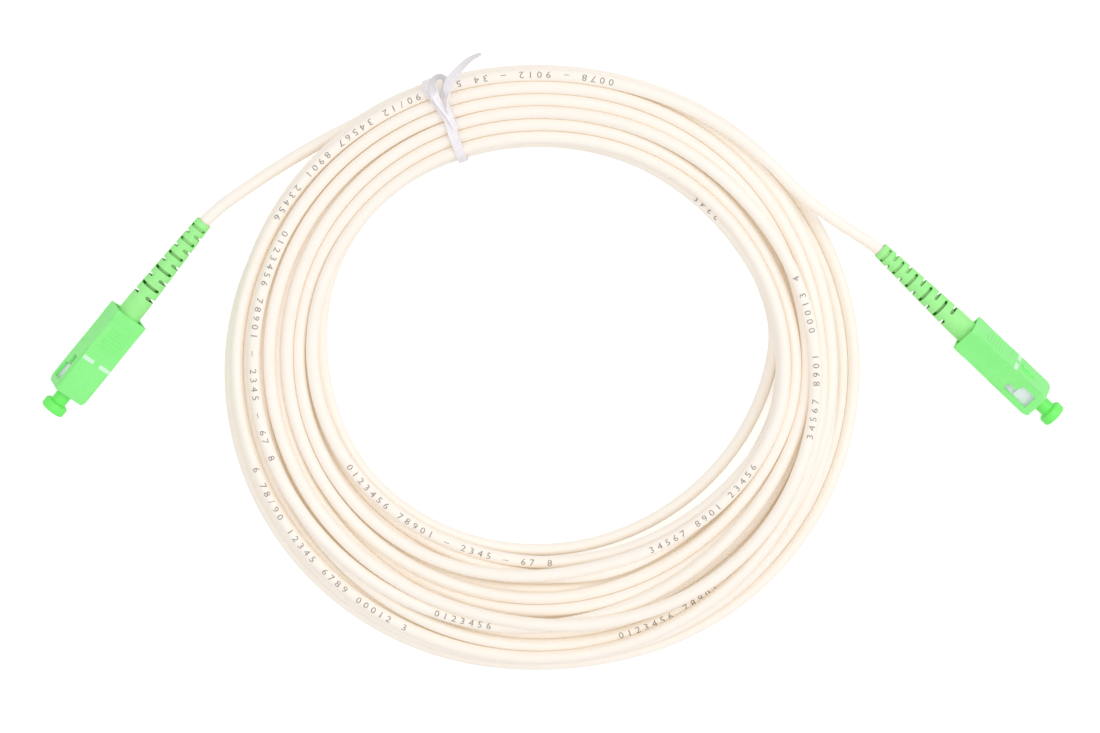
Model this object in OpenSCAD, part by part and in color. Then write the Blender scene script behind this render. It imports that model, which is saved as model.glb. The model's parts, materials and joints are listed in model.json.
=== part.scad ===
// Simplex fibre optic patch cord, wound up and tied, with an angled push-pull plug on each end.
//
// The origin lies on the surface that the cord rests on, under the centre of the coil.
// Plug B points along +X and plug A nearly along -Y. Each plug is drawn along its own +X, from
// the rear face of its grip sleeve: the boot's tip lies behind that face, the dust cap ahead.
// Seen from above, the cord runs from plug A clockwise through the coil to plug B.

/* [Cable] */
// Outside diameter of the jacket
cable_d = 3; // [2:0.1:3.2]
// Outside diameter of the buffered fibre inside it
fibre_d = 0.9; // [0.6:0.1:1]

/* [Coil] */
// Half the long way across the outermost turn, at the middle of the cable
coil_r = 76.5; // [72:0.1:90]
// The coil's short way across, as a share of its long way
coil_oval = 0.937; // [0.9:0.001:1]
// Whole loops in the coil, which has 75 degrees more to reach the second lead
coil_loops = 23; // [15:1:23]
// Layers that the loops are piled in
coil_layers = 4; // [2, 4]
// Clearance from one turn to the next
turn_gap = 0.45; // [0.42:0.01:0.6]
// How much wider the loops fan out on one side of the coil than on the other, as a share
fan_out = 0.35; // [0:0.05:0.4]

/* [Tie] */
// Width of the flat plastic tie
tie_w = 2.2; // [1.6:0.1:4]
// Thickness of the tie
tie_t = 0.5; // [0.3:0.05:0.6]
// Clearance of the tie from the turns it holds
tie_gap = 0.6; // [0.4:0.05:1]

/* [Grip sleeve] */
// Length of the sleeve
sleeve_l = 24.5; // [24.3:0.1:27]
// Width across the two faces with the latch windows
sleeve_w = 9; // [8.8:0.1:9.6]
// Height across the two striped faces
sleeve_h = 7.4; // [7.3:0.1:8]
// Wall of the two faces with the latch windows
sleeve_side_wall = 0.85; // [0.7:0.05:0.95]
// Wall of the two striped faces
sleeve_face_wall = 0.7; // [0.6:0.05:0.75]
// Rounding of the sleeve's four long edges
sleeve_edge_r = 0.9; // [0.4:0.1:1.2]
// Length of the full-width collar at the sleeve's rear
collar_l = 2.6; // [1:0.1:3]
// Where the finger recess ends, from the rear face
grip_end = 12; // [11:0.1:13]
// Depth of the finger recess
grip_depth = 0.25; // [0.1:0.05:0.35]
// Ribs in the finger recess
rib_count = 6; // [3:1:8]
// Distance from the first rib to the last
rib_span = 4.8; // [4:0.1:5.2]
// Length of the chamfer at the front edges
nose_l = 1.9; // [0.5:0.1:2]
// Depth of the chamfer at the front edges
nose_depth = 0.6; // [0.2:0.05:0.65]
// Length of each latch window
window_l = 7.2; // [5:0.1:7.2]
// Height of each latch window at its front
window_h = 3.8; // [2.4:0.1:4]
// Bar left in front of each latch window
window_bar = 2; // [1.2:0.1:2.4]
// Length of the key rib
key_l = 4.4; // [3:0.1:5]
// Width of the key rib
key_w = 2; // [1.4:0.1:2.4]
// Height of the key rib
key_h = 0.5; // [0.3:0.05:0.8]
// How far the sleeve pulls back to free the plug
pull_travel = 1.6; // [1:0.1:1.8]

/* [Plug frame] */
// Length of the inner plug frame
frame_l = 19.6; // [19:0.1:20.4]
// How far the frame's front lies behind the sleeve's
frame_inset = 0.4; // [0.1:0.1:0.8]
// Bore of the frame, at the front and at the rear
frame_bore_d = 4.7; // [4.6:0.05:5]
// Depth of the latch pocket in each side
catch_depth = 0.8; // [0.5:0.05:0.9]
// Thickness of the web that the ferrule stands through
web_t = 1.2; // [0.8:0.1:1.5]
// Depth of the frame's front bore
front_bore_l = 6.2; // [5.8:0.1:6.4]

/* [Ferrule] */
// Diameter of the ferrule
ferrule_d = 2.5; // [2.4:0.05:2.6]
// Length of the ferrule
ferrule_l = 10.5; // [10.4:0.1:11]
// Angle of the polished end
ferrule_tilt = 8; // [0:1:9]
// How far the ferrule can be pushed back against its spring
float_travel = 1; // [0.5:0.1:1.1]
// Diameter of the flange's collar
flange_d = 4.3; // [4:0.05:4.4]

/* [Spring] */
// Wire of the ferrule spring
wire_d = 0.4; // [0.3:0.05:0.45]
// Mean diameter of the ferrule spring
spring_d = 3.5; // [3.4:0.05:3.7]
// Curls of the ferrule spring
spring_curls = 5; // [3:1:6]

/* [Crimp] */
// Length of the backbone's barrel behind its collar
barrel_l = 5.4; // [4.8:0.1:5.8]
// Diameter of the backbone's barrel
barrel_d = 3.8; // [3.6:0.05:3.9]
// Wall of the crimp sleeve
crimp_t = 0.2; // [0.1:0.05:0.25]
// Length of the crimp sleeve's neck, which grips the jacket
crimp_neck_l = 3; // [2:0.1:3.2]
// Thickness of the yarn caught between the barrel and the crimp sleeve
yarn_t = 0.1; // [0.08:0.01:0.12]

/* [Boot] */
// Length of the boot behind the sleeve
boot_out = 29; // [27:0.5:34]
// Diameter of the boot's base
boot_base_d = 5.8; // [5.6:0.05:5.8]
// Wall of the boot at its tip
boot_tip_wall = 0.4; // [0.3:0.05:0.6]
// Length of the boot's straight base behind the sleeve
boot_straight = 4.4; // [3:0.1:5]
// Rows of slots, turned by 90 degrees from one to the next
slot_rows = 10; // [4:1:10]
// Width of a slot along the boot
slot_w = 0.95; // [0.5:0.05:1.1]
// Arc of a slot, in degrees
slot_arc = 116; // [90:1:130]
// Distance of the first row of slots from the tip
slot_first = 1.9; // [1.4:0.1:2.5]
// Distance from the first row to the second
slot_pitch = 2.05; // [1.7:0.05:2.1]
// How much each further distance is longer than the one before
slot_growth = 0.066; // [0:0.002:0.07]

/* [Dust cap] */
// Diameter of the dust cap's stem
cap_stem_d = 3.8; // [3.6:0.05:4]
// How far the stem stands out of the sleeve
cap_stem_out = 3; // [2.6:0.1:5]
// Diameter of the dust cap's head
cap_head_d = 6.1; // [5:0.1:7]
// Thickness of the dust cap's head
cap_head_t = 2.6; // [1.2:0.1:3]

/* [Fits] */
// Clearance round a piece that slides in a housing
slide_gap = 0.1; // [0.06:0.01:0.12]
// Radial clearance of the dust cap on the ferrule
cap_gap = 0.04; // [0.02:0.01:0.08]
// Clearance of pieces that rest against each other
seat_gap = 0.05; // [0.02:0.01:0.08]

/* [Lie] */
// Direction of plug A seen from above, from +X
aim_a = -86; // [-95:1:-70]
// Turn of plug A about its own axis, which puts its key underneath
roll_a = 152; // [145:1:180]
// Turn of plug B about its own axis
roll_b = -64; // [-75:1:-30]
// Turn of boot A on its plug
boot_turn_a = -54; // [-90:1:90]
// Turn of boot B on its plug
boot_turn_b = -11; // [-90:1:90]

/* [Hidden] */
$fn = 48;

green = [0.5, 0.9, 0.48];
cap_green = [0.36, 0.88, 0.36];
ivory = [0.97, 0.93, 0.87];
tie_white = [0.93, 0.92, 0.94];
frame_white = [0.94, 0.95, 0.96];
steel = [0.75, 0.76, 0.78];
brass = [0.78, 0.66, 0.4];
zirconia = [0.96, 0.96, 0.94];
yarn_yellow = [0.93, 0.83, 0.45];

// Small extra length that a cutting shape runs past the surface it cuts.
past = 1;

// ---- Coil ----
loop_rings = 24;
coil_sides = 6;
cable_r = cable_d / 2;
turn_step = cable_d + turn_gap;
// The coil begins where lead A joins it, and its whole loops and this extra arc end at lead B.
coil_start = 165;
coil_extra = 75;
coil_rings = coil_loops * loop_rings + coil_extra / 360 * loop_rings;
coil_turns = coil_rings / loop_rings;
leg_turns = coil_turns / coil_layers;
climb_turns = 0.5;
// The bottom layer is cut flat by a tenth of the cable, where it stands.
flat_cut = cable_d / 10;
tie_angle = 154;
// The turns lie on the tie where it passes under them.
tie_lift = tie_t + flat_cut;
// The turns come down to the surface again within this angle on each side of the tie.
lift_reach = 45;

// Ways of the coil's long half axis and of the side where its loops lie closest together.
long_way = 43.4;
close_way = 92;

// Distance of the outermost turn from the centre, and its growth with the angle in radians.
function coil_edge(a) = coil_r * (1 - (1 - coil_oval) * (1 - cos(2 * (a - long_way))) / 2);
function edge_growth(a) = -coil_r * (1 - coil_oval) * sin(2 * (a - long_way));

// Width that the loops of one layer take up, middle to middle.
function fan_width(a) = leg_turns * turn_step * (1 + fan_out * (1 - cos(a - close_way)) / 2);

// Angle of a ring, in degrees. The turns wind clockwise.
function coil_angle(k) = coil_start - 360 * k / loop_rings;

// Share of the way in from the outermost turn, for a spiral that runs in and out by layers.
function coil_in(t) = let (q = t / leg_turns, j = floor(q), f = q - j) j % 2 == 0 ? f : 1 - f;

// Height gained by the climbs up to turn t. Each climb is centred where the spiral reverses.
function coil_climb(t, m = 1) = m >= coil_layers ? 0
    : turn_step * min(1, max(0, (t - m * leg_turns) / climb_turns + 0.5)) + coil_climb(t, m + 1);

// Height by which the turns are held up over the tie.
function lift_at(a) = let (off = abs(((a - tie_angle + 540) % 360 + 360) % 360 - 180))
    off > lift_reach ? 0 : tie_lift * cos(90 * off / lift_reach);

// Middle of the cable at ring k.
function coil_point(k) =
    let (t = k / loop_rings, a = coil_angle(k), r = coil_edge(a) - coil_in(t) * fan_width(a))
    [r * cos(a), r * sin(a), cable_r - flat_cut + lift_at(a) + coil_climb(t)];

coil_path = [for (k = [0:coil_rings]) coil_point(k)];

// Least distance between turns, from each ring to those beside it on every later turn.
least_step = min([
    for (k = [0:coil_rings], m = [loop_rings:loop_rings:coil_rings], s = [-1:1])
        if (k + m + s <= coil_rings) norm(coil_path[k + m + s] - coil_path[k])
]);
echo(str("Least gap of the coil to itself, mm: ", least_step - cable_d));

// ---- Sweeps ----
function unit(v) = v / norm(v);

// A round outline of n points, with flats at its top and bottom.
function round_outline(r, n) =
    [for (i = [0:n - 1]) let (a = 90 + 360 * (i + 0.5) / n) r * [cos(a), sin(a)]];

// An outline stood square to direction d at p. Its second coordinate runs towards up.
function placed(outline, p, d, up) =
    let (side = unit(cross(up, d)), top = unit(cross(d, side)))
    [for (q = outline) p + q[0] * side + q[1] * top];

// Directions along a path, with the first and the last given.
function headings(path, first, last) = [
    for (k = [0:len(path) - 1])
        k == 0 ? first : k == len(path) - 1 ? last : unit(path[k + 1] - path[k - 1])
];

// Triangles of a tube of m rings of n points.
function tube_faces(m, n) = concat(
    [for (k = [0:m - 2], i = [0:n - 1])
        let (a = k * n + i, b = k * n + (i + 1) % n)
        each [[a, a + n, b], [b, a + n, b + n]]],
    [for (i = [1:n - 2]) [0, i, i + 1]],
    [for (i = [1:n - 2]) let (o = (m - 1) * n) [o, o + i + 1, o + i]]
);

// A tube along a path. Points below the floor are raised to it.
module sweep(path, ways, ups, outline, floor_z = -1000) {
    rings = [for (k = [0:len(path) - 1]) placed(outline, path[k], ways[k], ups[k])];
    points = [for (r = rings, p = r) [p[0], p[1], max(floor_z, p[2])]];
    polyhedron(points, tube_faces(len(path), len(outline)));
}

// ---- Plugs ----
up_z = [0, 0, 1];

// Height of a plug's axis at which it lies on the surface, for its turn.
function lie_z(roll) = max(
    (sleeve_w / 2 - sleeve_edge_r) * abs(sin(roll)) + (sleeve_h / 2 - sleeve_edge_r) * abs(cos(roll))
        + sleeve_edge_r,
    key_w / 2 * abs(sin(roll)) - (sleeve_h / 2 + key_h) * cos(roll));

// Where each boot's tip lies, outside the outermost turn, and its way to the plug.
edge_left = coil_edge(180);
edge_top = coil_edge(90);
tip_a_out = 9.6;
tip_b_out = 3.3;
tip_a = [-edge_left - tip_a_out, -30, lie_z(roll_a)];
tip_b = [39.3, edge_top + tip_b_out, lie_z(roll_b)];
way_a = [cos(aim_a), sin(aim_a), 0];
way_b = [1, 0, 0];

// Stations along a plug.
cavity_w = sleeve_w - 2 * sleeve_side_wall;
cavity_h = sleeve_h - 2 * sleeve_face_wall;
frame_w = cavity_w - 2 * slide_gap;
frame_h = cavity_h - 2 * slide_gap;
frame_front = sleeve_l - frame_inset;
frame_rear = frame_front - frame_l;
web_front = frame_front - front_bore_l;
web_rear = web_front - web_t;
window_front = sleeve_l - window_bar;
window_rear = window_front - window_l;
collar_front = web_rear - seat_gap;
backbone_collar_t = 1;
backbone_front = frame_rear + 4;
backbone_collar_rear = frame_rear - backbone_collar_t;
barrel_rear = backbone_collar_rear - barrel_l;
jacket_end = barrel_rear - 0.5;
fibre_start = jacket_end + float_travel + 0.2;
collar_t = 1.75;
collar_rear = collar_front - collar_t;
ferrule_rear = collar_front - 1.25;
ferrule_tip = ferrule_rear + ferrule_l;
boot_front = backbone_collar_rear - 2 * seat_gap;
barrel_r = barrel_d / 2;
yarn_gap = 0.02;
crimp_r = barrel_r + yarn_t + 2 * yarn_gap + crimp_t;
neck_rear = jacket_end - crimp_neck_l;
neck_r = cable_r + slide_gap + crimp_t;
boot_bore_r = cable_r + slide_gap;
boot_wide_r = max(crimp_r, neck_r) + slide_gap;
boot_step = neck_rear - 0.3;
boot_tip_r = boot_bore_r + boot_tip_wall;

// Turns what is drawn along Z to lie along X.
module along_x() rotate([0, 90, 0]) children();

// A solid of revolution about X, from [radius, station] points.
module turned(points) along_x() rotate_extrude() polygon(points);

// Rectangle with rounded corners.
function round_rect(w, h, r) = [
    for (c = [[1, 1, 0], [-1, 1, 90], [-1, -1, 180], [1, -1, 270]], a = [0:15:90])
        [c[0] * (w / 2 - r) + r * cos(c[2] + a), c[1] * (h / 2 - r) + r * sin(c[2] + a)]
];

// A bar of the given [Y, Z] outline from station x0 to x1.
module bar(outline, x0, x1)
    translate([x0, 0, 0]) rotate([90, 0, 90]) linear_extrude(x1 - x0) polygon(outline);

// A profile in [X, Z], as wide as w across Y.
module across_y(profile, w) translate([0, w / 2, 0]) rotate([90, 0, 0]) linear_extrude(w) polygon(profile);

// A profile in [X, Y], as tall as h across Z.
module across_z(profile, h) translate([0, 0, -h / 2]) linear_extrude(h) polygon(profile);

// Cuts the four front edges of a bar of width w and height h that ends at x1.
module nose_cut(w, h, x1, l, depth) {
    wide = 3 * w;
    for (s = [-1, 1]) {
        across_y([[x1 - l, s * h / 2], [x1 - l, s * (h / 2 + past)], [x1 + past, s * (h / 2 + past)],
                  [x1 + past, s * (h / 2 - depth - depth / l * past)]], wide);
        across_z([[x1 - l, s * w / 2], [x1 - l, s * (w / 2 + past)], [x1 + past, s * (w / 2 + past)],
                  [x1 + past, s * (w / 2 - depth - depth / l * past)]], wide);
    }
}

// The finger recess of one face at distance edge from the axis, with sloped ends.
recess_slope = 0.8;
function recess_profile(edge) = let (run = past * recess_slope / grip_depth) [
    [collar_l - run, edge + past], [collar_l + recess_slope, edge - grip_depth],
    [grip_end - recess_slope, edge - grip_depth], [grip_end + run, edge + past]
];

module at_plug_a() translate(tip_a + boot_out * way_a) rotate([roll_a, 0, aim_a]) children();

module at_plug_b() translate(tip_b + boot_out * way_b) rotate([roll_b, 0, 0]) children();

module grip_sleeve() color(green) {
    rib_w = 0.5;
    rib_first = 4.5;
    rib_len = 5;
    rib_root = sleeve_h / 2 - grip_depth;
    rib_top = rib_root + 0.16;
    rib_profile = [
        [-0.5, rib_root - 0.1], [-0.5, rib_root + 0.08], [-0.2, rib_top],
        [0.2, rib_top], [0.5, rib_root + 0.08], [0.5, rib_root - 0.1]
    ];
    key_rear = grip_end + 3.2;
    key_root = sleeve_h / 2 - 0.2;
    window_step = window_rear + 2.5;
    window_run = 0.8;
    stop_groove = 0.3;
    difference() {
        union() {
            difference() {
                bar(round_rect(sleeve_w, sleeve_h, sleeve_edge_r), 0, sleeve_l);
                for (s = [-1, 1]) {
                    across_y([for (p = recess_profile(sleeve_h / 2)) [p[0], s * p[1]]], 2 * sleeve_w);
                    across_z([for (p = recess_profile(sleeve_w / 2)) [p[0], s * p[1]]], 2 * sleeve_h);
                }
                nose_cut(sleeve_w, sleeve_h, sleeve_l, nose_l, nose_depth);
            }
            // Grip ribs on both striped faces.
            for (s = [-1, 1], i = [0:rib_count - 1])
                let (x = rib_first + rib_span * i / (rib_count - 1))
                across_y([for (q = rib_profile) [x + q[0] * rib_w, s * q[1]]], rib_len);
            // Key rib, ahead of the grip on one face only, with a sloped front.
            across_y([[key_rear, key_root], [key_rear + 0.2, sleeve_h / 2 + key_h],
                      [key_rear + key_l - 1.5 * key_h, sleeve_h / 2 + key_h],
                      [key_rear + key_l, key_root]], key_w);
        }
        bar(round_rect(cavity_w, cavity_h, 0.3), -past, sleeve_l + past);
        // Latch windows, narrower at the rear.
        across_y([[window_rear, -window_h / 2], [window_front, -window_h / 2],
                  [window_front, window_h / 2], [window_step + window_run, window_h / 2],
                  [window_step, 0], [window_rear, 0]], 2 * sleeve_w);
        // Grooves that stop the sleeve on the frame's lugs.
        translate([lug_rear - seat_gap, -lug_w / 2 - slide_gap, -cavity_h / 2 - stop_groove])
            cube([lug_l + pull_travel + 2 * seat_gap, lug_w + 2 * slide_gap, cavity_h + 2 * stop_groove]);
    }
}

// Stop lugs of the frame, which run in the sleeve's grooves.
lug_w = 3;
lug_l = 1.5;
lug_h = 0.3;
lug_rear = window_rear + 4.2;

module plug_frame() color(frame_white) {
    bore_r = frame_bore_d / 2;
    pocket_h = window_h + 0.3;
    side = frame_w / 2;
    floor_y = side - catch_depth;
    crest = window_rear + 2.9;
    difference() {
        union() {
            bar(round_rect(frame_w, frame_h, 0.4), frame_rear, frame_front);
            translate([lug_rear, -lug_w / 2, -frame_h / 2 - lug_h]) cube([lug_l, lug_w, frame_h + 2 * lug_h]);
        }
        nose_cut(frame_w, frame_h, frame_front, 0.8, 0.35);
        // Latch pocket, crest and lead-in ramp on both sides.
        for (s = [-1, 1])
            across_z([[window_rear - 0.7, s * (side + past)], [window_rear - 0.7, s * floor_y],
                      [crest - 0.4, s * floor_y], [crest, s * side], [crest + 1.4, s * side],
                      [window_front, s * (floor_y + 0.1)], [window_front + 0.4, s * (floor_y + 0.1)],
                      [window_front + 0.4, s * (side + past)]], pocket_h);
        translate([web_front, 0, 0]) along_x() cylinder(r = bore_r, h = front_bore_l + past);
        translate([frame_rear - past, 0, 0]) along_x() cylinder(r = bore_r, h = web_rear - frame_rear + past);
        translate([web_rear - past, 0, 0]) along_x() cylinder(r = nose_r + slide_gap, h = web_t + 2 * past);
    }
}

nose_r = ferrule_d / 2 + 0.4;

module ferrule() color(zirconia) {
    r = ferrule_d / 2;
    lead_in = 0.35;
    difference() {
        turned([[0, ferrule_rear], [r, ferrule_rear], [r, ferrule_tip - lead_in], [r - lead_in, ferrule_tip],
                [0, ferrule_tip]]);
        // Angled polish.
        translate([ferrule_tip, 0, 0]) rotate([0, ferrule_tilt, 0])
            translate([0, -2 * r, -2 * r]) cube(4 * r);
    }
}

module ferrule_flange() color(steel) {
    bond = 0.02;
    tail_r = spring_d / 2 - wire_d;
    hold_r = ferrule_d / 2 + bond;
    fibre_r = fibre_d / 2 + slide_gap;
    tail_rear = backbone_front + 0.6;
    slot_w_flange = 0.7;
    difference() {
        turned([[fibre_r, tail_rear], [tail_r, tail_rear], [tail_r, collar_rear],
                [flange_d / 2, collar_rear], [flange_d / 2, collar_front], [nose_r, collar_front],
                [nose_r, collar_front + 0.8], [hold_r, collar_front + 0.8], [hold_r, ferrule_rear],
                [fibre_r, ferrule_rear]]);
        // Tuning slots across the collar.
        for (a = [0, 90]) rotate([a, 0, 0])
            translate([collar_front - 0.5, -flange_d, -slot_w_flange / 2])
                difference() {
                    cube([past, 2 * flange_d, slot_w_flange]);
                    translate([-past, flange_d - nose_r - 0.1, -past])
                        cube([3 * past, 2 * nose_r + 0.2, 3 * past]);
                }
    }
}

module ferrule_spring() color(steel) {
    x0 = backbone_front;
    x1 = collar_rear - seat_gap;
    r = spring_d / 2;
    curl_rings = 8;
    rings = spring_curls * curl_rings;
    run = x1 - x0 - 2 * wire_d;
    helix = [for (k = [0:rings]) let (a = 360 * k / curl_rings)
        [x0 + wire_d + run * (k + 0.5) / (rings + 1), r * cos(a), r * sin(a)]];
    path = concat([[x0, r, 0], [x0 + wire_d, r, 0]], [for (k = [1:rings - 1]) helix[k]],
                  [[x1 - wire_d, r, 0], [x1, r, 0]]);
    ends = [1, 0, 0];
    n = len(path);
    ways = [for (k = [0:n - 1]) k < 2 || k > n - 3 ? ends : unit(path[k + 1] - path[k - 1])];
    ups = [for (k = [0:n - 1]) unit([0, path[k][1], path[k][2]])];
    sweep(path, ways, ups, round_outline(wire_d / 2, 6));
}

module backbone() color(steel) {
    nose = frame_bore_d / 2 - slide_gap;
    tail_bore = spring_d / 2 - wire_d + 0.15;
    bore = fibre_d / 2 + 0.55;
    snap = 0.4;
    groove = 0.08;
    groove_pitch = 0.8;
    groove_count = floor((barrel_l - 1) / groove_pitch);
    difference() {
        turned([[bore, barrel_rear], [barrel_r, barrel_rear], [barrel_r, backbone_collar_rear],
                [frame_h / 2 - 0.1, backbone_collar_rear], [frame_h / 2 - 0.1, frame_rear],
                [nose, frame_rear], [nose, frame_rear + 1.2], [nose - 0.25, frame_rear + 1.2],
                [nose - 0.25, frame_rear + 1.2 + snap], [nose, frame_rear + 1.2 + snap],
                [nose, backbone_front - 0.3], [nose - 0.3, backbone_front],
                [tail_bore, backbone_front], [tail_bore, backbone_front - 1.2],
                [bore, backbone_front - 1.2]]);
        // Grooves that the yarn is crimped into.
        for (i = [0:groove_count - 1])
            let (x = barrel_rear + 0.6 + groove_pitch * i)
            turned([[barrel_r - groove, x], [barrel_r + past, x], [barrel_r + past, x + groove_pitch / 2],
                    [barrel_r - groove, x + groove_pitch / 2]]);
    }
}

module crimp_sleeve() color(brass) {
    front = backbone_collar_rear - 0.4;
    inner = crimp_r - crimp_t;
    turned([[neck_r - crimp_t, neck_rear], [neck_r, neck_rear], [neck_r, jacket_end - 0.3],
            [crimp_r, jacket_end + 0.1], [crimp_r, front], [inner, front], [inner, jacket_end + 0.3],
            [neck_r - crimp_t, jacket_end]]);
}

module aramid_yarn() color(yarn_yellow) {
    r = barrel_r + yarn_gap;
    turned([[r, barrel_rear], [r + yarn_t, barrel_rear], [r + yarn_t, backbone_collar_rear - 0.6],
            [r, backbone_collar_rear - 0.6]]);
}

module buffered_fibre() color(ivory)
    translate([fibre_start, 0, 0]) along_x() cylinder(d = fibre_d, h = ferrule_rear - fibre_start);

module boot() color(green) {
    base_r = boot_base_d / 2;
    lip = 0.15;
    tip = -boot_out;
    cut = 2 * base_r;
    difference() {
        turned([[boot_bore_r, tip], [boot_tip_r - lip, tip], [boot_tip_r, tip + lip],
                [base_r, -boot_straight], [base_r, boot_front], [boot_wide_r, boot_front],
                [boot_wide_r, boot_step], [boot_bore_r, boot_step - 0.8]]);
        // Rows of paired slots through to the cable, wider apart towards the base.
        for (k = [0:slot_rows - 1])
            let (x = tip + slot_first + slot_pitch * k + slot_growth * k * (k - 1) / 2, facing = 90 * (k % 2))
            for (side = [0, 180])
                translate([x, 0, 0]) rotate([facing + side, 0, 0]) slot_cut(cut);
    }
}

// One slot, open towards +Y, with round ends.
module slot_cut(reach) {
    along_x() translate([0, 0, -slot_w / 2]) rotate([0, 0, 90 - slot_arc / 2])
        rotate_extrude(angle = slot_arc) translate([boot_bore_r - 0.2, 0]) square([reach, slot_w]);
    for (s = [-1, 1]) rotate([s * slot_arc / 2, 0, 0])
        translate([0, boot_bore_r - 0.2, 0]) rotate([-90, 0, 0]) cylinder(d = slot_w, h = reach, $fn = 24);
}

module dust_cap() color(cap_green) {
    stem_r = cap_stem_d / 2;
    bore_r = ferrule_d / 2 + cap_gap;
    rear = web_front + float_travel + 0.2;
    bore_end = ferrule_tip + 0.6;
    head_rear = sleeve_l + cap_stem_out;
    head_r = cap_head_d / 2;
    edge = min(0.7, cap_head_t / 3);
    turned(concat(
        [[bore_r, rear], [stem_r - 0.15, rear], [stem_r, rear + 0.3], [stem_r, head_rear],
         [head_r - edge, head_rear]],
        [for (a = [-75:15:0]) [head_r - edge + edge * cos(a), head_rear + edge + edge * sin(a)]],
        [for (a = [0:15:90]) [head_r - edge + edge * cos(a), head_rear + cap_head_t - edge + edge * sin(a)]],
        [[0, head_rear + cap_head_t], [0, bore_end], [bore_r, bore_end]]));
}

// ---- Cord ----
// Lead A, from the boot's tip to the coil's first ring. X counts from the outermost turn.
route_a = [
    [-9.5, -26.5, 4.7], [-8.95, -22.5, 4.4], [-8.1, -18, 4], [-7, -13.4, 3.6], [-5.9, -9, 3.2],
    [-4.6, -4.5, 2.9], [-3.1, 0.3, 2.6], [-1.5, 5, 2.4], [0.2, 9.5, 2.2], [2, 14, 2.05]
];
// Lead B, from the coil's last ring to the boot's tip. Y counts from the outermost turn.
route_b = [
    [5, -0.1, 11.4], [10, -0.35, 10.8], [15, -0.35, 10], [20, 0, 9.1], [25, 0.6, 8.1],
    [30, 1.4, 7.1], [35, 2.4, 6.1]
];

// A lead's path: straight through the boot, then the chosen points, then the coil.
lead_a_path = concat(
    [tip_a + (boot_out + jacket_end) * way_a, tip_a + 1 * way_a],
    [for (p = route_a) p - [edge_left, 0, 0]], [coil_path[0]]);
lead_b_path = concat(
    [coil_path[coil_rings]], [for (p = route_b) p + [0, edge_top, 0]],
    [tip_b + 1 * way_b, tip_b + (boot_out + jacket_end) * way_b]);

// Way of the cable along the outermost turn, square to the coil's end faces.
function wound_way(a) = let (r = coil_edge(a), g = edge_growth(a))
    unit([r * sin(a) - g * cos(a), -r * cos(a) - g * sin(a), 0]);

module lead(path, first, last) color(ivory)
    sweep(path, headings(path, first, last), [for (p = path) up_z], round_outline(cable_r, 8), 0);

module cable_lead_a() lead(lead_a_path, -way_a, wound_way(coil_angle(0)));

module cable_lead_b() lead(lead_b_path, wound_way(coil_angle(coil_rings)), way_b);

module cable_coil() color(ivory)
    sweep(coil_path, headings(coil_path, wound_way(coil_angle(0)), wound_way(coil_angle(coil_rings))),
          [for (p = coil_path) up_z], round_outline(cable_r, coil_sides), 0);

// ---- Tie ----
module twist_tie() color(tie_white) {
    in_r = coil_edge(tie_angle) - fan_width(tie_angle) - cable_r - tie_gap;
    out_r = coil_edge(tie_angle) + cable_r + tie_gap;
    top_z = tie_lift + 2 * cable_r - flat_cut + (coil_layers - 1) * turn_step + tie_gap;
    mid = (in_r + out_r) / 2;
    mid_z = (tie_t + top_z) / 2;
    bend = 2.5;
    strap = [for (c = [[-1, -1], [1, -1], [1, 1], [-1, 1]]) [c[0] * tie_w / 2, c[1] * tie_t / 2]];
    crown = [mid, 0, top_z + tie_t / 2];
    // From the knot a small loop stands up outwards, and the tail leans out past it. Both count in
    // widths of the strap.
    loop_way = [
        [0.7, 0.6, 0], [1.25, 0.85, 0.3], [2, 0.9, 0.85], [2.7, 0.6, 1.4], [3.1, 0.1, 1.7],
        [2.9, -0.4, 1.5], [2.35, -0.6, 1.05], [1.6, -0.5, 0.5], [0.9, -0.25, 0]
    ];
    loop_middle = [1.9, 0.15, 0.85];
    tail_way = [
        [-0.4, 0.1, 0], [0, 0.1, 0.1], [0.6, -0.1, 0.4], [1.2, -0.5, 0.75], [1.85, -1.15, 1.1],
        [2.5, -1.95, 1.4], [3.15, -3, 1.75], [3.75, -4.1, 2], [4.3, -5.3, 2.05]
    ];
    loop = [for (p = loop_way) crown + tie_w * p];
    tail = [for (p = tail_way) crown + tie_w * p];
    rotate([0, 0, tie_angle]) {
        translate([mid, tie_w / 2, mid_z]) rotate([90, 0, 0]) linear_extrude(tie_w) difference() {
            polygon(round_rect(out_r - in_r + 2 * tie_t, top_z - tie_t + 2 * tie_t, bend + tie_t));
            polygon(round_rect(out_r - in_r, top_z - tie_t, bend));
        }
        sweep(loop, headings(loop, unit(loop[1] - loop[0]), unit(loop[8] - loop[7])),
              [for (p = loop_way) p - loop_middle], strap);
        sweep(tail, headings(tail, [1, 0, 0], unit(tail[8] - tail[7])), [for (p = tail) up_z], strap);
        // The knot, a turn of the strap about itself.
        translate(crown) bar(round_rect(tie_w + 2 * tie_t, 2.4 * tie_t, tie_t), -tie_w / 2, tie_w / 2);
    }
}

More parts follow.
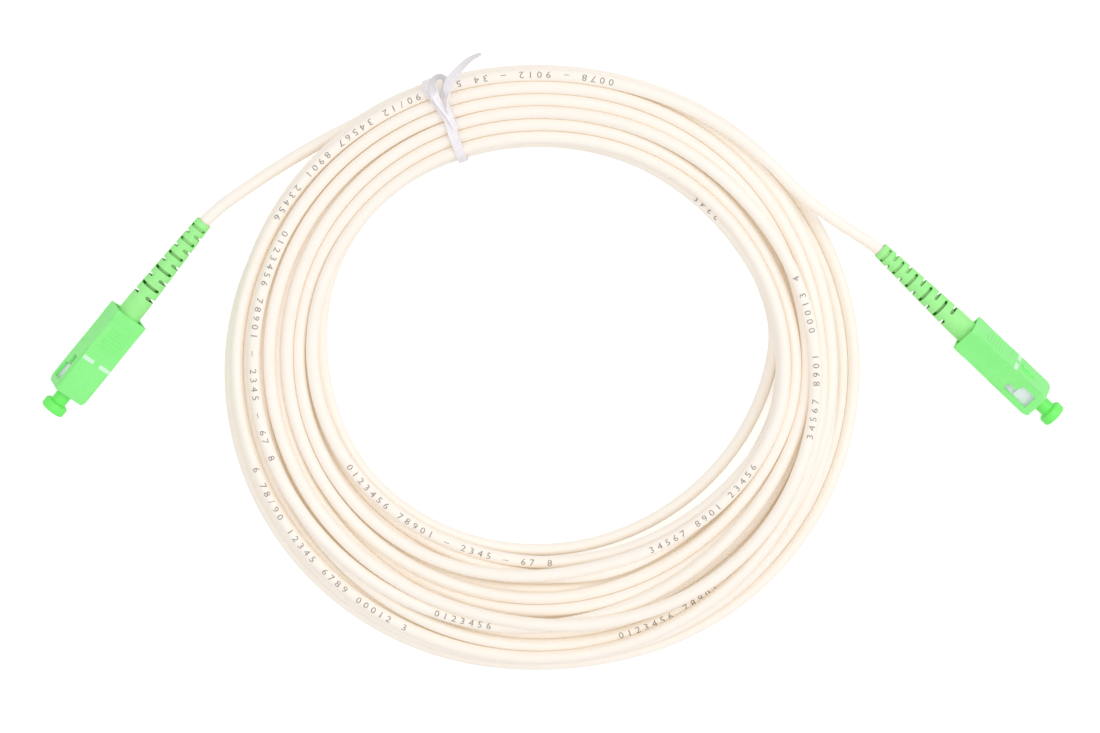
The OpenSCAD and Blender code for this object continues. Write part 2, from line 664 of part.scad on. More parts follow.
cable_lead_a();
cable_coil();
cable_lead_b();
twist_tie();
at_plug_a() grip_sleeve();  // grip_sleeve_a
at_plug_a() plug_frame();  // plug_frame_a
at_plug_a() ferrule();  // ferrule_a
at_plug_a() ferrule_flange();  // ferrule_flange_a
at_plug_a() ferrule_spring();  // ferrule_spring_a
at_plug_a() backbone();  // backbone_a
at_plug_a() crimp_sleeve();  // crimp_sleeve_a
at_plug_a() aramid_yarn();  // aramid_yarn_a
at_plug_a() buffered_fibre();  // buffered_fibre_a
at_plug_a() rotate([boot_turn_a, 0, 0]) boot();  // boot_a
at_plug_a() dust_cap();  // dust_cap_a
at_plug_b() grip_sleeve();  // grip_sleeve_b
at_plug_b() plug_frame();  // plug_frame_b
at_plug_b() ferrule();  // ferrule_b
at_plug_b() ferrule_flange();  // ferrule_flange_b
at_plug_b() ferrule_spring();  // ferrule_spring_b
at_plug_b() backbone();  // backbone_b
at_plug_b() crimp_sleeve();  // crimp_sleeve_b
at_plug_b() aramid_yarn();  // aramid_yarn_b
at_plug_b() buffered_fibre();  // buffered_fibre_b
at_plug_b() rotate([boot_turn_b, 0, 0]) boot();  // boot_b
at_plug_b() dust_cap();  // dust_cap_b
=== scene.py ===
"""Dresses a fibre optic patch cord: its wound ivory cable, the tie round it, and a green plug on each end.

The CAD solids are the fixed frame. The cable is settled here turn by turn, the rigid pieces of the plugs
get rounded edges and their finishes, and the tie is made anew. Lengths are in millimetres and angles in
degrees until a mesh is done, and every finished piece is in metres in the frame's own place.
"""

import json
import logging
import math
from dataclasses import dataclass, field
from enum import Enum

import bmesh
import bpy
import numpy as np
from mathutils import Euler, Matrix, Vector

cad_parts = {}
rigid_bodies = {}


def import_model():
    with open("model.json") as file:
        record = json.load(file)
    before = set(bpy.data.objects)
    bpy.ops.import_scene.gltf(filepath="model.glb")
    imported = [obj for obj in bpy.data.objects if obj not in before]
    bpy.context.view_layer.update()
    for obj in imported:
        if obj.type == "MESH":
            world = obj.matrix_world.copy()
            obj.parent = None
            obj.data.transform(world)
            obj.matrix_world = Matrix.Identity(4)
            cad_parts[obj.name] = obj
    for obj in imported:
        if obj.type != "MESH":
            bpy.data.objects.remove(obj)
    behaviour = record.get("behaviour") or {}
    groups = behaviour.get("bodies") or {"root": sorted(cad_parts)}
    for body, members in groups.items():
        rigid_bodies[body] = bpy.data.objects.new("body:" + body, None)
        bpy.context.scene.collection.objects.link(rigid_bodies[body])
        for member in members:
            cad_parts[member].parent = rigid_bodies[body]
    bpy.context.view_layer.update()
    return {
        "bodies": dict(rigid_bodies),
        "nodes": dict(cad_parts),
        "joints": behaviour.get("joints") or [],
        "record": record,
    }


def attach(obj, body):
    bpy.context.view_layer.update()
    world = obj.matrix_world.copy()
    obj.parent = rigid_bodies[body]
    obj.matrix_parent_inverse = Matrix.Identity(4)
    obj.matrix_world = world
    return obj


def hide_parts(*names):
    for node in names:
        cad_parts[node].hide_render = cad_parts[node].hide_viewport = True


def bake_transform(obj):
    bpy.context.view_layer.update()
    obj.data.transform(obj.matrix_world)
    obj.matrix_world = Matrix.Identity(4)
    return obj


LOG = logging.getLogger("patch_cord")
MM = 0.001
TO_METRES = (MM, MM, MM)
TINY = 1e-6
BOOT_LENGTH = 29.0
WHITE = (1.0, 1.0, 1.0, 1.0)

Array = np.ndarray
BMesh = bmesh.types.BMesh
Material = bpy.types.Material
Mesh = bpy.types.Mesh
Piece = bpy.types.Object
ShaderTree = bpy.types.NodeTree
Socket = bpy.types.NodeSocket
Sockets = bpy.types.NodeOutputs
Point = tuple[float, float, float]


class Slot(Enum):
    """The record's material slots."""

    JACKET = "jacket"
    TIE = "tie_plastic"
    SLEEVE = "sleeve_green"
    FRAME = "frame_white"
    ZIRCONIA = "zirconia"
    PLATED = "plated_metal"
    SPRING = "spring_steel"
    CRIMP = "crimp_metal"
    YARN = "aramid"
    BUFFER = "fibre_buffer"
    BOOT = "boot_green"
    CAP = "cap_green"


class End(Enum):
    """The two ends of the cord."""

    A = "a"
    B = "b"


# ---- Meshes and lines ----


def placed(name: str, data: bpy.types.ID) -> Piece:
    """Returns a new object with its data, linked to the scene."""
    made = bpy.data.objects.new(name, data)
    bpy.context.scene.collection.objects.link(made)
    return made


def mesh_of(bm: BMesh, name: str) -> Mesh:
    """Turns a bmesh into a mesh and frees it.

    Args:
        bm: The bmesh.
        name: The mesh's name.

    Returns:
        The mesh.
    """
    mesh = bpy.data.meshes.new(name)
    bm.to_mesh(mesh)
    bm.free()
    return mesh


def mesh_of_curve(curve: bpy.types.Curve) -> Mesh:
    """Turns a curve into a mesh and removes the curve.

    Args:
        curve: The curve.

    Returns:
        The mesh.
    """
    holder = placed("curve_holder", curve)
    bpy.context.view_layer.update()
    mesh = bpy.data.meshes.new_from_object(holder.evaluated_get(bpy.context.evaluated_depsgraph_get()))
    bpy.data.objects.remove(holder)
    bpy.data.curves.remove(curve)
    return mesh


def scale_all(bm: BMesh, scale: Point) -> None:
    """Scales a whole bmesh about the zero point."""
    bmesh.ops.scale(bm, vec=scale, verts=bm.verts)


def round_edges(bm: BMesh, corner: float, radius: float) -> None:
    """Rounds the sharp edges of a bmesh.

    Args:
        bm: The bmesh.
        corner: The angle above which an edge is rounded.
        radius: The radius, in the bmesh's own unit.
    """
    sharp = [e for e in bm.edges if e.is_manifold and e.calc_face_angle() > math.radians(corner)]
    bmesh.ops.bevel(bm, geom=sharp, offset=radius, offset_type="OFFSET", segments=2, profile=0.5,
                    affect="EDGES", material=-1, clamp_overlap=True)


def run_of(line: Array) -> Array:
    """Returns the length along a line at each of its points."""
    return np.concatenate([[0], np.cumsum(np.linalg.norm(np.diff(line, axis=0), axis=1))])


def with_ends(points: Array) -> Array:
    """Returns the points with one more before the first and one after the last, straight on."""
    return np.vstack([2 * points[0] - points[1], points, 2 * points[-1] - points[-2]])


def swell(degrees: float) -> float:
    """Returns 0 at an angle of 0, 1 at 180 degrees, and a smooth value between."""
    return (1 - math.cos(math.radians(degrees))) / 2


# ---- Colours and shader trees ----


@dataclass(frozen=True)
class Colour:
    """A colour by its sRGB values, each from 0 to 255."""

    red: int
    green: int
    blue: int

    def linear(self) -> tuple[float, float, float, float]:
        """Returns the scene-linear colour with an alpha of 1."""
        parts = [v / 255 for v in (self.red, self.green, self.blue)]
        parts = [v / 12.92 if v <= 0.04045 else ((v + 0.055) / 1.055) ** 2.4 for v in parts]
        return (*parts, 1.0)


@dataclass(frozen=True)
class NodeTree:
    """Adds nodes to the shader tree of a material, a world or a node group, and joins them."""

    tree: ShaderTree

    @classmethod
    def fresh(cls, owner: bpy.types.ID) -> "NodeTree":
        """Returns the emptied tree of a material or a world."""
        owner.use_nodes = True
        owner.node_tree.nodes.clear()
        return cls(owner.node_tree)

    def add(self, kind: str, inputs: dict | None = None, **settings: object) -> bpy.types.Node:
        """Adds one node.

        Args:
            kind: The node's type name, without its ShaderNode prefix where it has one.
            inputs: Values or output sockets, by the input's name or number.
            **settings: The node's own settings.

        Returns:
            The new node.
        """
        node = self.tree.nodes.new(kind if kind.startswith("NodeGroup") else "ShaderNode" + kind)
        for name, value in settings.items():
            setattr(node, name, value)
        for name, value in (inputs or {}).items():
            if isinstance(value, Socket):
                self.tree.links.new(value, node.inputs[name])
            else:
                node.inputs[name].default_value = value
        return node

    def math(self, operation: str, *values: object, clamp: bool = False) -> Socket:
        """Returns the output of a new Math node, by its operation and its inputs in order."""
        node = self.add("Math", dict(enumerate(values)), operation=operation, use_clamp=clamp)
        return node.outputs[0]

    def step(self, value: Socket, low: float, high: float) -> Socket:
        """Returns a smooth step of a value, which is 0 at low and 1 at high."""
        node = self.add("MapRange", {0: value, 1: low, 2: high}, interpolation_type="SMOOTHSTEP")
        return node.outputs[0]

    def blend(self, share: object, first: object, second: object) -> Socket:
        """Returns a mix of two colours, by how much of the second is in it."""
        node = self.add("Mix", {0: share, 6: first, 7: second}, data_type="RGBA", blend_type="MIX")
        return node.outputs[2]

    def noise(self, vector: Socket, scale: object, detail: float) -> Socket:
        """Returns the value of a new noise texture."""
        return self.add("TexNoise", {"Vector": vector, "Scale": scale, "Detail": detail}).outputs[0]


class Effect(Enum):
    """Effects that several finishes share, each a node group that is built once."""

    MOTTLE = "mottle"
    GRAIN = "moulded_grain"
    DRAWN = "drawn_lines"


SOCKETS: dict[Effect, tuple[str, str]] = {
    Effect.MOTTLE: ("Vector:Vector Scale:Float Amount:Float Colour:Color Shade:Color", "Colour:Color"),
    Effect.GRAIN: ("Vector:Vector Scale:Float Roughness:Float Spread:Float", "Height:Float Roughness:Float"),
    Effect.DRAWN: ("Vector:Vector Across:Float Along:Float", "Height:Float Mask:Float"),
}


@dataclass
class Effects:
    """Makes each shared effect's node group the first time that a finish asks for it."""

    fine_scale: float = 7.3
    fine_share: float = 0.35
    patches: tuple[float, float] = (0.36, 0.64)
    soft_scale: float = 0.31
    cell_height: float = 0.5
    drawn_mask: tuple[float, float] = (0.45, 0.7)
    groups: dict[Effect, ShaderTree] = field(default_factory=dict)

    def get(self, effect: Effect) -> ShaderTree:
        """Gives an effect's node group.

        Args:
            effect: The effect.

        Returns:
            Its node group.
        """
        if effect not in self.groups:
            group = bpy.data.node_groups.new(effect.value, "ShaderNodeTree")
            for in_out, sockets in zip(("INPUT", "OUTPUT"), SOCKETS[effect]):
                for name, kind in (socket.split(":") for socket in sockets.split()):
                    group.interface.new_socket(name, in_out=in_out, socket_type="NodeSocket" + kind)
            makers = {Effect.MOTTLE: self.mottle, Effect.GRAIN: self.grain, Effect.DRAWN: self.drawn}
            tree = NodeTree(group)
            tree.add("NodeGroupOutput", makers[effect](tree, tree.add("NodeGroupInput").outputs))
            self.groups[effect] = group
        return self.groups[effect]

    def mottle(self, tree: NodeTree, given: Sockets) -> dict[str, Socket]:
        """Makes a colour a little lighter and darker in soft patches.

        Args:
            tree: The group's tree.
            given: The group's inputs.

        Returns:
            The group's outputs.
        """
        wide = tree.noise(given["Vector"], given["Scale"], 3.0)
        fine = tree.noise(given["Vector"], tree.math("MULTIPLY", given["Scale"], self.fine_scale), 2.0)
        wide = tree.math("MULTIPLY", wide, 1 - self.fine_share)
        both = tree.math("MULTIPLY_ADD", fine, self.fine_share, wide)
        share = tree.math("MULTIPLY", tree.step(both, *self.patches), given["Amount"])
        return {"Colour": tree.blend(share, given["Colour"], given["Shade"])}

    def grain(self, tree: NodeTree, given: Sockets) -> dict[str, Socket]:
        """Makes the fine texture that a mould leaves, as a height and as a roughness.

        Args:
            tree: The group's tree.
            given: The group's inputs.

        Returns:
            The group's outputs.
        """
        place = {"Vector": given["Vector"], "Scale": given["Scale"]}
        cells = tree.add("TexVoronoi", place, feature="SMOOTH_F1").outputs[0]
        soft = tree.noise(given["Vector"], tree.math("MULTIPLY", given["Scale"], self.soft_scale), 4.0)
        away = tree.math("SUBTRACT", soft, 0.5)
        return {
            "Height": tree.math("MULTIPLY_ADD", cells, self.cell_height, soft),
            "Roughness": tree.math("MULTIPLY_ADD", away, given["Spread"], given["Roughness"], clamp=True),
        }

    def drawn(self, tree: NodeTree, given: Sockets) -> dict[str, Socket]:
        """Makes the fine lines that drawing or turning leaves along one way of a surface.

        Args:
            tree: The group's tree.
            given: The group's inputs.

        Returns:
            The group's outputs.
        """
        parts = tree.add("SeparateXYZ", {0: given["Vector"]}).outputs
        scaled = [tree.math("MULTIPLY", parts[n], given["Across" if n else "Along"]) for n in range(3)]
        lines = tree.noise(tree.add("CombineXYZ", dict(enumerate(scaled))).outputs[0], 1.0, 3.0)
        return {"Height": lines, "Mask": tree.step(lines, *self.drawn_mask)}


# ---- Finishes ----


@dataclass(frozen=True)
class Place:
    """Where a plug lies: its own zero point in millimetres, the turn about its axis, and its direction."""

    origin: Point = (0.0, 0.0, 0.0)
    roll: float = 0.0
    aim: float = 0.0

    def euler(self) -> Euler:
        """Returns the plug's turn."""
        return Euler((math.radians(self.roll), 0.0, math.radians(self.aim)))

    def matrix(self) -> Matrix:
        """Returns the matrix from the plug's own millimetres to the frame's."""
        return Matrix.Translation(self.origin) @ self.euler().to_matrix().to_4x4()

    def on_axis(self, x: float) -> Vector:
        """Returns the point at x on the plug's axis, in the frame's millimetres."""
        return self.matrix() @ Vector((x, 0.0, 0.0))


@dataclass(frozen=True)
class Surface:
    """What a finish works on: the material's tree, the shared effects, and the point on the surface."""

    tree: NodeTree
    effects: Effects
    point: Socket

    def effect(self, effect: Effect, values: dict) -> Sockets:
        """Returns the outputs of a shared effect at the point."""
        inputs = {"Vector": self.point, **values}
        return self.tree.add("Group", inputs, node_tree=self.effects.get(effect)).outputs

    def axes(self) -> Sockets:
        """Returns the point's three numbers."""
        return self.tree.add("SeparateXYZ", {0: self.point}).outputs


@dataclass(frozen=True)
class Finish:
    """What every finish has: its colour, a shade that it mottles towards, and its gloss."""

    name: str
    colour: Colour
    shade: Colour
    roughness: float = 0.4
    mottle: float = 0.5
    mottle_per_mm: float = 0.15
    grain_per_mm: float = 9.0
    grain_mm: float = 0.01
    spread: float = 0.15
    metallic: float = 0.0
    coat: float = 0.0
    coat_roughness: float = 0.2
    # A glow is painted light: the surface gives light though it is no lamp.
    glow: Colour = Colour(255, 255, 255)
    painted_glow_strength: float = 0.0

    def make(self, effects: Effects, place: Place | None = None) -> Material:
        """Makes the material.

        Args:
            effects: The shared effects.
            place: Where the plug lies whose own axes the pattern follows, or None for the frame's.

        Returns:
            The material.
        """
        material = bpy.data.materials.new(self.name)
        tree = NodeTree.fresh(material)
        on = Surface(tree, effects, self.point(tree, place or Place()))
        mottle = on.effect(Effect.MOTTLE, {"Scale": self.mottle_per_mm, "Amount": self.mottle,
                                           "Colour": self.colour.linear(), "Shade": self.shade.linear()})
        grain = on.effect(Effect.GRAIN, {"Scale": self.grain_per_mm, "Roughness": self.roughness,
                                         "Spread": self.spread})
        colour = self.painted(on, mottle["Colour"])
        height = self.relief(on, grain["Height"])
        bump = tree.add("Bump", {"Height": height, "Distance": self.grain_mm * MM, "Strength": 1.0})
        shader = tree.add("BsdfPrincipled", {
            "Base Color": colour,
            "Roughness": grain["Roughness"],
            "Normal": bump.outputs[0],
            "Metallic": self.metallic,
            "Coat Weight": self.coat,
            "Coat Roughness": self.coat_roughness,
            # The glow is painted light wherever its strength is above 0.
            "Emission Color": self.glow.linear(),
            "Emission Strength": self.painted_glow_strength,
        })
        tree.add("OutputMaterial", {"Surface": shader.outputs[0]})
        return material

    def point(self, tree: NodeTree, place: Place) -> Socket:
        """Gives the point on the surface, in millimetres along the piece's own axes.

        Args:
            tree: The material's tree.
            place: Where those axes lie.

        Returns:
            The point.
        """
        mapping = tree.add("Mapping", {
            "Vector": tree.add("TexCoord").outputs["Object"],
            "Location": Vector(place.origin) * MM,
            "Rotation": place.euler(),
            "Scale": TO_METRES,
        }, vector_type="TEXTURE")
        return mapping.outputs[0]

    def painted(self, on: Surface, colour: Socket) -> Socket:
        """Returns the surface's colour, which a finish with marks on it changes."""
        return colour

    def relief(self, on: Surface, height: Socket) -> Socket:
        """Returns the surface's height, which a finish with its own texture changes."""
        return height


@dataclass(frozen=True)
class DrawnFinish(Finish):
    """A finish with fine lines along the X axis of its piece, as on a drawn, turned or combed part."""

    across_per_mm: float = 6.0
    along_per_mm: float = 0.3
    line_share: float = 0.3

    def lines(self, on: Surface) -> Sockets:
        """Returns the height and the mask of the lines."""
        return on.effect(Effect.DRAWN, {"Across": self.across_per_mm, "Along": self.along_per_mm})

    def painted(self, on: Surface, colour: Socket) -> Socket:
        """Returns the colour, darker along the lines."""
        share = on.tree.math("MULTIPLY", self.lines(on)["Mask"], self.line_share)
        return on.tree.blend(share, colour, self.shade.linear())

    def relief(self, on: Surface, height: Socket) -> Socket:
        """Returns the height, with the lines in it."""
        return on.tree.math("ADD", height, self.lines(on)["Height"])


@dataclass(frozen=True)
class JacketFinish(DrawnFinish):
    """The cable's jacket, whose lines follow the cable by the tube's own attribute."""

    def point(self, tree: NodeTree, place: Place) -> Socket:
        """Returns the point along and around the cable, in millimetres."""
        return tree.add("Attribute", attribute_name="lay").outputs["Vector"]


@dataclass(frozen=True)
class TieFinish(DrawnFinish):
    """The tie's plastic, with painted shade where the mesh says so: greyer in its loop and towards the tail's
    tip.
    """

    shade_grey: Colour = Colour(206, 204, 204)

    def painted(self, on: Surface, colour: Socket) -> Socket:
        """Returns the colour with the lines in it, blended towards the grey of the painted shade."""
        share = on.tree.add("Attribute", attribute_name="painted_shade").outputs["Fac"]
        return on.tree.blend(share, super().painted(on, colour), self.shade_grey.linear())


@dataclass(frozen=True)
class SleeveFinish(Finish):
    """The grip sleeve's green, with two white marks beside the key on both broad faces."""

    mark: Colour = Colour(217, 252, 226)
    mark_x: tuple[float, float] = (13.4, 14.4)
    mark_y: tuple[float, float] = (0.9, 4.1)
    face_z: float = 3.0
    edge: float = 0.06
    wear_per_mm: float = 4.0
    wear: tuple[float, float] = (0.25, 0.82)

    def painted(self, on: Surface, colour: Socket) -> Socket:
        """Lays the marks on the colour.

        Args:
            on: The surface.
            colour: The colour without them.

        Returns:
            The colour with them.
        """
        tree, parts = on.tree, on.axes()
        up = tree.math("ABSOLUTE", parts[2])
        mask = tree.step(up, self.face_z - self.edge, self.face_z + self.edge)
        for value, (low, high) in ((parts[0], self.mark_x), (tree.math("ABSOLUTE", parts[1]), self.mark_y)):
            for edge, way in ((low, self.edge), (high, -self.edge)):
                mask = tree.math("MULTIPLY", mask, tree.step(value, edge - way, edge + way))
        worn = tree.noise(on.point, self.wear_per_mm, 4.0)
        mask = tree.math("MULTIPLY", mask, tree.math("MULTIPLY_ADD", worn, *self.wear, clamp=True))
        return tree.blend(mask, colour, self.mark.linear())


@dataclass(frozen=True)
class BootFinish(Finish):
    """The boot's green, with painted shade on the walls where a slot cuts into it. Its tip and base are
    places with their radii.
    """

    painted_slot_shade: Colour = Colour(44, 146, 30)
    tip: tuple[float, float] = (-28.85, 1.95)
    base: tuple[float, float] = (-4.4, 2.9)
    depth: tuple[float, float] = (0.06, 0.2)

    def painted(self, on: Surface, colour: Socket) -> Socket:
        """Paints shade on the colour under the boot's outer surface, on the slots' walls.

        Args:
            on: The surface.
            colour: The colour on the outside.

        Returns:
            The colour everywhere.
        """
        tree, parts = on.tree, on.axes()
        taper = {0: parts[0], 1: self.tip[0], 2: self.base[0], 3: self.tip[1], 4: self.base[1]}
        surface = tree.add("MapRange", taper).outputs[0]
        flat = tree.add("CombineXYZ", {1: parts[1], 2: parts[2]}).outputs[0]
        out = tree.add("VectorMath", {0: flat}, operation="LENGTH").outputs["Value"]
        slot_shade_share = tree.step(tree.math("SUBTRACT", surface, out), *self.depth)
        slotted = tree.step(parts[0], self.base[0] + 1.0, self.base[0])
        # Painted shade: the slots' walls turn dark green, as if in shadow.
        return tree.blend(tree.math("MULTIPLY", slot_shade_share, slotted), colour, self.painted_slot_shade.linear())


@dataclass(frozen=True)
class FloorFinish:
    """The floor and what the camera sees behind it: white, with the object's shadow kept faint on it."""

    colour: Colour = Colour(244, 243, 242)
    shade: Colour = Colour(250, 249, 248)
    mottle: float = 0.02
    mottle_per_m: float = 3.0
    lift: float = 0.5

    def make(self) -> Material:
        """Makes the floor's material.

        Returns:
            The material.
        """
        material = bpy.data.materials.new("white_floor")
        tree = NodeTree.fresh(material)
        patches = tree.noise(tree.add("TexCoord").outputs["Object"], self.mottle_per_m, 2.0)
        share = tree.math("MULTIPLY", patches, self.mottle)
        colour = tree.blend(share, self.colour.linear(), self.shade.linear())
        matt = tree.add("BsdfDiffuse", {"Color": colour})
        seen = tree.math("MULTIPLY", tree.add("LightPath").outputs["Is Camera Ray"], self.lift)
        glow = tree.add("Emission", {"Color": WHITE, "Strength": seen})
        both = tree.add("AddShader", {0: matt.outputs[0], 1: glow.outputs[0]})
        tree.add("OutputMaterial", {"Surface": both.outputs[0]})
        return material


FINISHES: dict[Slot, Finish] = {
    # The jacket's warm glow is painted light. It stands in for light passing through the jacket, which warms
    # and lightens the gaps between the turns.
    Slot.JACKET: JacketFinish("ivory_jacket", Colour(246, 241, 235), Colour(243, 236, 227), roughness=0.42,
                              glow=Colour(255, 224, 178), painted_glow_strength=0.095,
                              mottle_per_mm=0.03, grain_per_mm=2.2, grain_mm=0.008,
                              across_per_mm=2.2, along_per_mm=0.03, line_share=0.12),
    # The tie's faint glow is painted light.
    Slot.TIE: TieFinish("tie_white", Colour(248, 243, 247), Colour(228, 225, 230), roughness=0.45,
                        grain_mm=0.008, line_share=0.4, painted_glow_strength=0.02),
    Slot.SLEEVE: SleeveFinish("sleeve_green", Colour(144, 251, 140), Colour(134, 243, 130), roughness=0.36,
                              grain_mm=0.006, coat=0.1),
    # The frame's faint glow is painted light, which lifts it where it lies in shade.
    Slot.FRAME: Finish("frame_white", Colour(240, 243, 248), Colour(226, 231, 238), painted_glow_strength=0.05),
    Slot.ZIRCONIA: Finish("zirconia", Colour(240, 240, 234), Colour(228, 228, 220), roughness=0.12,
                          grain_mm=0.0008, coat=0.5),
    Slot.PLATED: DrawnFinish("plated_metal", Colour(198, 200, 204), Colour(150, 152, 158), roughness=0.24,
                             metallic=1.0, grain_mm=0.004),
    Slot.SPRING: DrawnFinish("spring_steel", Colour(176, 178, 182), Colour(128, 130, 134), roughness=0.3,
                             metallic=1.0, grain_mm=0.003),
    Slot.CRIMP: DrawnFinish("crimp_metal", Colour(206, 176, 112), Colour(164, 134, 78), roughness=0.32,
                            metallic=1.0, grain_mm=0.005),
    Slot.YARN: DrawnFinish("aramid_yarn", Colour(232, 200, 92), Colour(190, 152, 58), roughness=0.7,
                           grain_mm=0.05, across_per_mm=9.0, line_share=0.8),
    Slot.BUFFER: Finish("fibre_buffer", Colour(244, 240, 228), Colour(232, 226, 210), roughness=0.35),
    Slot.BOOT: BootFinish("boot_green", Colour(165, 249, 151), Colour(155, 241, 142), roughness=0.5,
                          grain_mm=0.012, spread=0.2),
    Slot.CAP: Finish("cap_green", Colour(117, 251, 106), Colour(102, 240, 92), roughness=0.3, coat=0.15,
                     grain_mm=0.004),
}

# The sheet in the boot's slots is painted light: it stands for the jacket lit green by the boot.
SLOT_GREEN_LIGHT = Finish("slot_green_light", Colour(178, 243, 154), Colour(160, 232, 136), roughness=0.5)
PRINT_INK = Finish("print_ink", Colour(126, 118, 112), Colour(196, 188, 178), roughness=0.6, mottle=0.8,
                   mottle_per_mm=2.4, grain_mm=0.004)


# ---- Pieces ----


@dataclass(frozen=True)
class Shell:
    """A part of a plug that shows: its slot, the radius of its edges and how sharp they are, and its body."""

    part: str
    slot: Slot
    edge: float
    corner: float = 40.0
    body: str = "cord"

    def node(self, end: End) -> str:
        """Returns the name of its CAD node."""
        return f"{self.part}_{end.value}"

    def body_at(self, end: End) -> str:
        """Returns the name of the CAD body that it rides on."""
        return self.body if self.body == "cord" else f"{self.body}_{end.value}"


@dataclass
class Workshop:
    """Turns meshes into pieces that ride on the frame, and keeps the materials."""

    frame: dict
    effects: Effects = field(default_factory=Effects)
    materials: dict[tuple, Material] = field(default_factory=dict)
    merge: float = 0.001
    flat: float = 0.5
    smooth: float = 50.0

    def material(self, slot: Slot, place: Place | None = None) -> Material:
        """Gives the material of a slot.

        Args:
            slot: The record's slot.
            place: The plug's place, or None where the pattern follows the frame.

        Returns:
            The material, made the first time that it is asked for.
        """
        key = (slot, place)
        if key not in self.materials:
            self.materials[key] = FINISHES[slot].make(self.effects, place)
        return self.materials[key]

    def piece(self, mesh: Mesh, body: str | None, slot: Slot, place: Place | None = None,
              smooth: float = 35.0, even: bool = False, finish: Finish | None = None) -> Piece:
        """Makes a piece of a mesh whose place is in its vertices.

        Args:
            mesh: The mesh, in metres, with the piece's name.
            body: The CAD body that it rides on, or None for a piece that rides on none.
            slot: The record's slot of its finish.
            place: The plug's place, or None where the pattern follows the frame.
            smooth: The angle below which an edge is shaded smooth.
            even: Whether its broad faces keep their own shading up to the rounded edges.
            finish: A finish of its own, in the slot's stead.

        Returns:
            The piece.
        """
        piece = placed(mesh.name, mesh)
        mesh.materials.clear()
        material = finish.make(self.effects, place) if finish else self.material(slot, place)
        mesh.materials.append(material)
        mesh.shade_smooth()
        mesh.set_sharp_from_angle(angle=math.radians(smooth))
        if even:
            piece.modifiers.new("even_shading", "WEIGHTED_NORMAL").keep_sharp = True
        if body:
            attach(piece, body)
        return piece

    def copy_of(self, node: str) -> BMesh:
        """Gives a copy of a CAD node's mesh, with its points merged.

        Args:
            node: The CAD node.

        Returns:
            The copy.
        """
        bm = bmesh.new()
        bm.from_mesh(self.frame["nodes"][node].data)
        bmesh.ops.remove_doubles(bm, verts=bm.verts, dist=self.merge * MM)
        return bm

    def rounded(self, bm: BMesh, shell: Shell, end: End, place: Place) -> Piece:
        """Rounds the edges of a CAD node's copy and shows it in the node's stead.

        Args:
            bm: The copy.
            shell: The part that it shows.
            end: The plug's end.
            place: The plug's place.

        Returns:
            The piece.
        """
        bmesh.ops.dissolve_limit(bm, angle_limit=math.radians(self.flat), verts=bm.verts, edges=bm.edges)
        round_edges(bm, shell.corner, shell.edge * MM)
        mesh = mesh_of(bm, f"{shell.node(end)}_moulded")
        piece = self.piece(mesh, shell.body_at(end), shell.slot, place, smooth=self.smooth, even=True)
        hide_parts(shell.node(end))
        return piece

    def dress(self, node: str, slot: Slot, place: Place) -> None:
        """Gives a CAD node its finish."""
        mesh = self.frame["nodes"][node].data
        mesh.materials.clear()
        mesh.materials.append(self.material(slot, place))


# ---- Cable ----


@dataclass(frozen=True)
class Winding:
    """How the cable is wound, as the CAD source has it."""

    cable_d: float = 3.0
    outer_r: float = 76.5
    oval: float = 0.937
    long_way: float = 43.4
    close_way: float = 92.0
    turns: float = 23 + 75 / 360
    layers: int = 4
    gap: float = 0.45
    fan_out: float = 0.35
    start: float = 165.0
    climb_turns: float = 0.5
    tie_angle: float = 154.0
    tie_lift: float = 0.5
    lift_reach: float = 45.0

    def height(self, turn: float, angle: float) -> float:
        """Works out the height of the cable's middle.

        Args:
            turn: Turns from the coil's start.
            angle: The angle there.

        Returns:
            The height.
        """
        climb = sum(
            min(1.0, max(0.0, (turn - m * self.turns / self.layers) / self.climb_turns + 0.5))
            for m in range(1, self.layers)
        )
        return self.cable_d / 2 + self.lift(angle) + climb * (self.cable_d + self.gap)

    def lift(self, angle: float) -> float:
        """Returns the height by which the turns lie on the tie, at an angle."""
        off = abs((angle - self.tie_angle + 180) % 360 - 180)
        return 0.0 if off > self.lift_reach else self.tie_lift * math.cos(math.pi / 2 * off / self.lift_reach)

    def inward(self, turn: float) -> float:
        """Returns the share of the way in from the outermost turn. The layers run in and out by turns."""
        share = turn / (self.turns / self.layers)
        return share % 1 if int(share) % 2 == 0 else 1 - share % 1

    def radius(self, turn: float, angle: float) -> float:
        """Works out the radius of the cable's middle.

        Args:
            turn: Turns from the coil's start.
            angle: The angle there.

        Returns:
            The radius.
        """
        edge = self.outer_r * (1 - (1 - self.oval) * swell(2 * (angle - self.long_way)))
        fan = 1 + self.fan_out * swell(angle - self.close_way)
        return edge - self.inward(turn) * self.turns / self.layers * (self.cable_d + self.gap) * fan


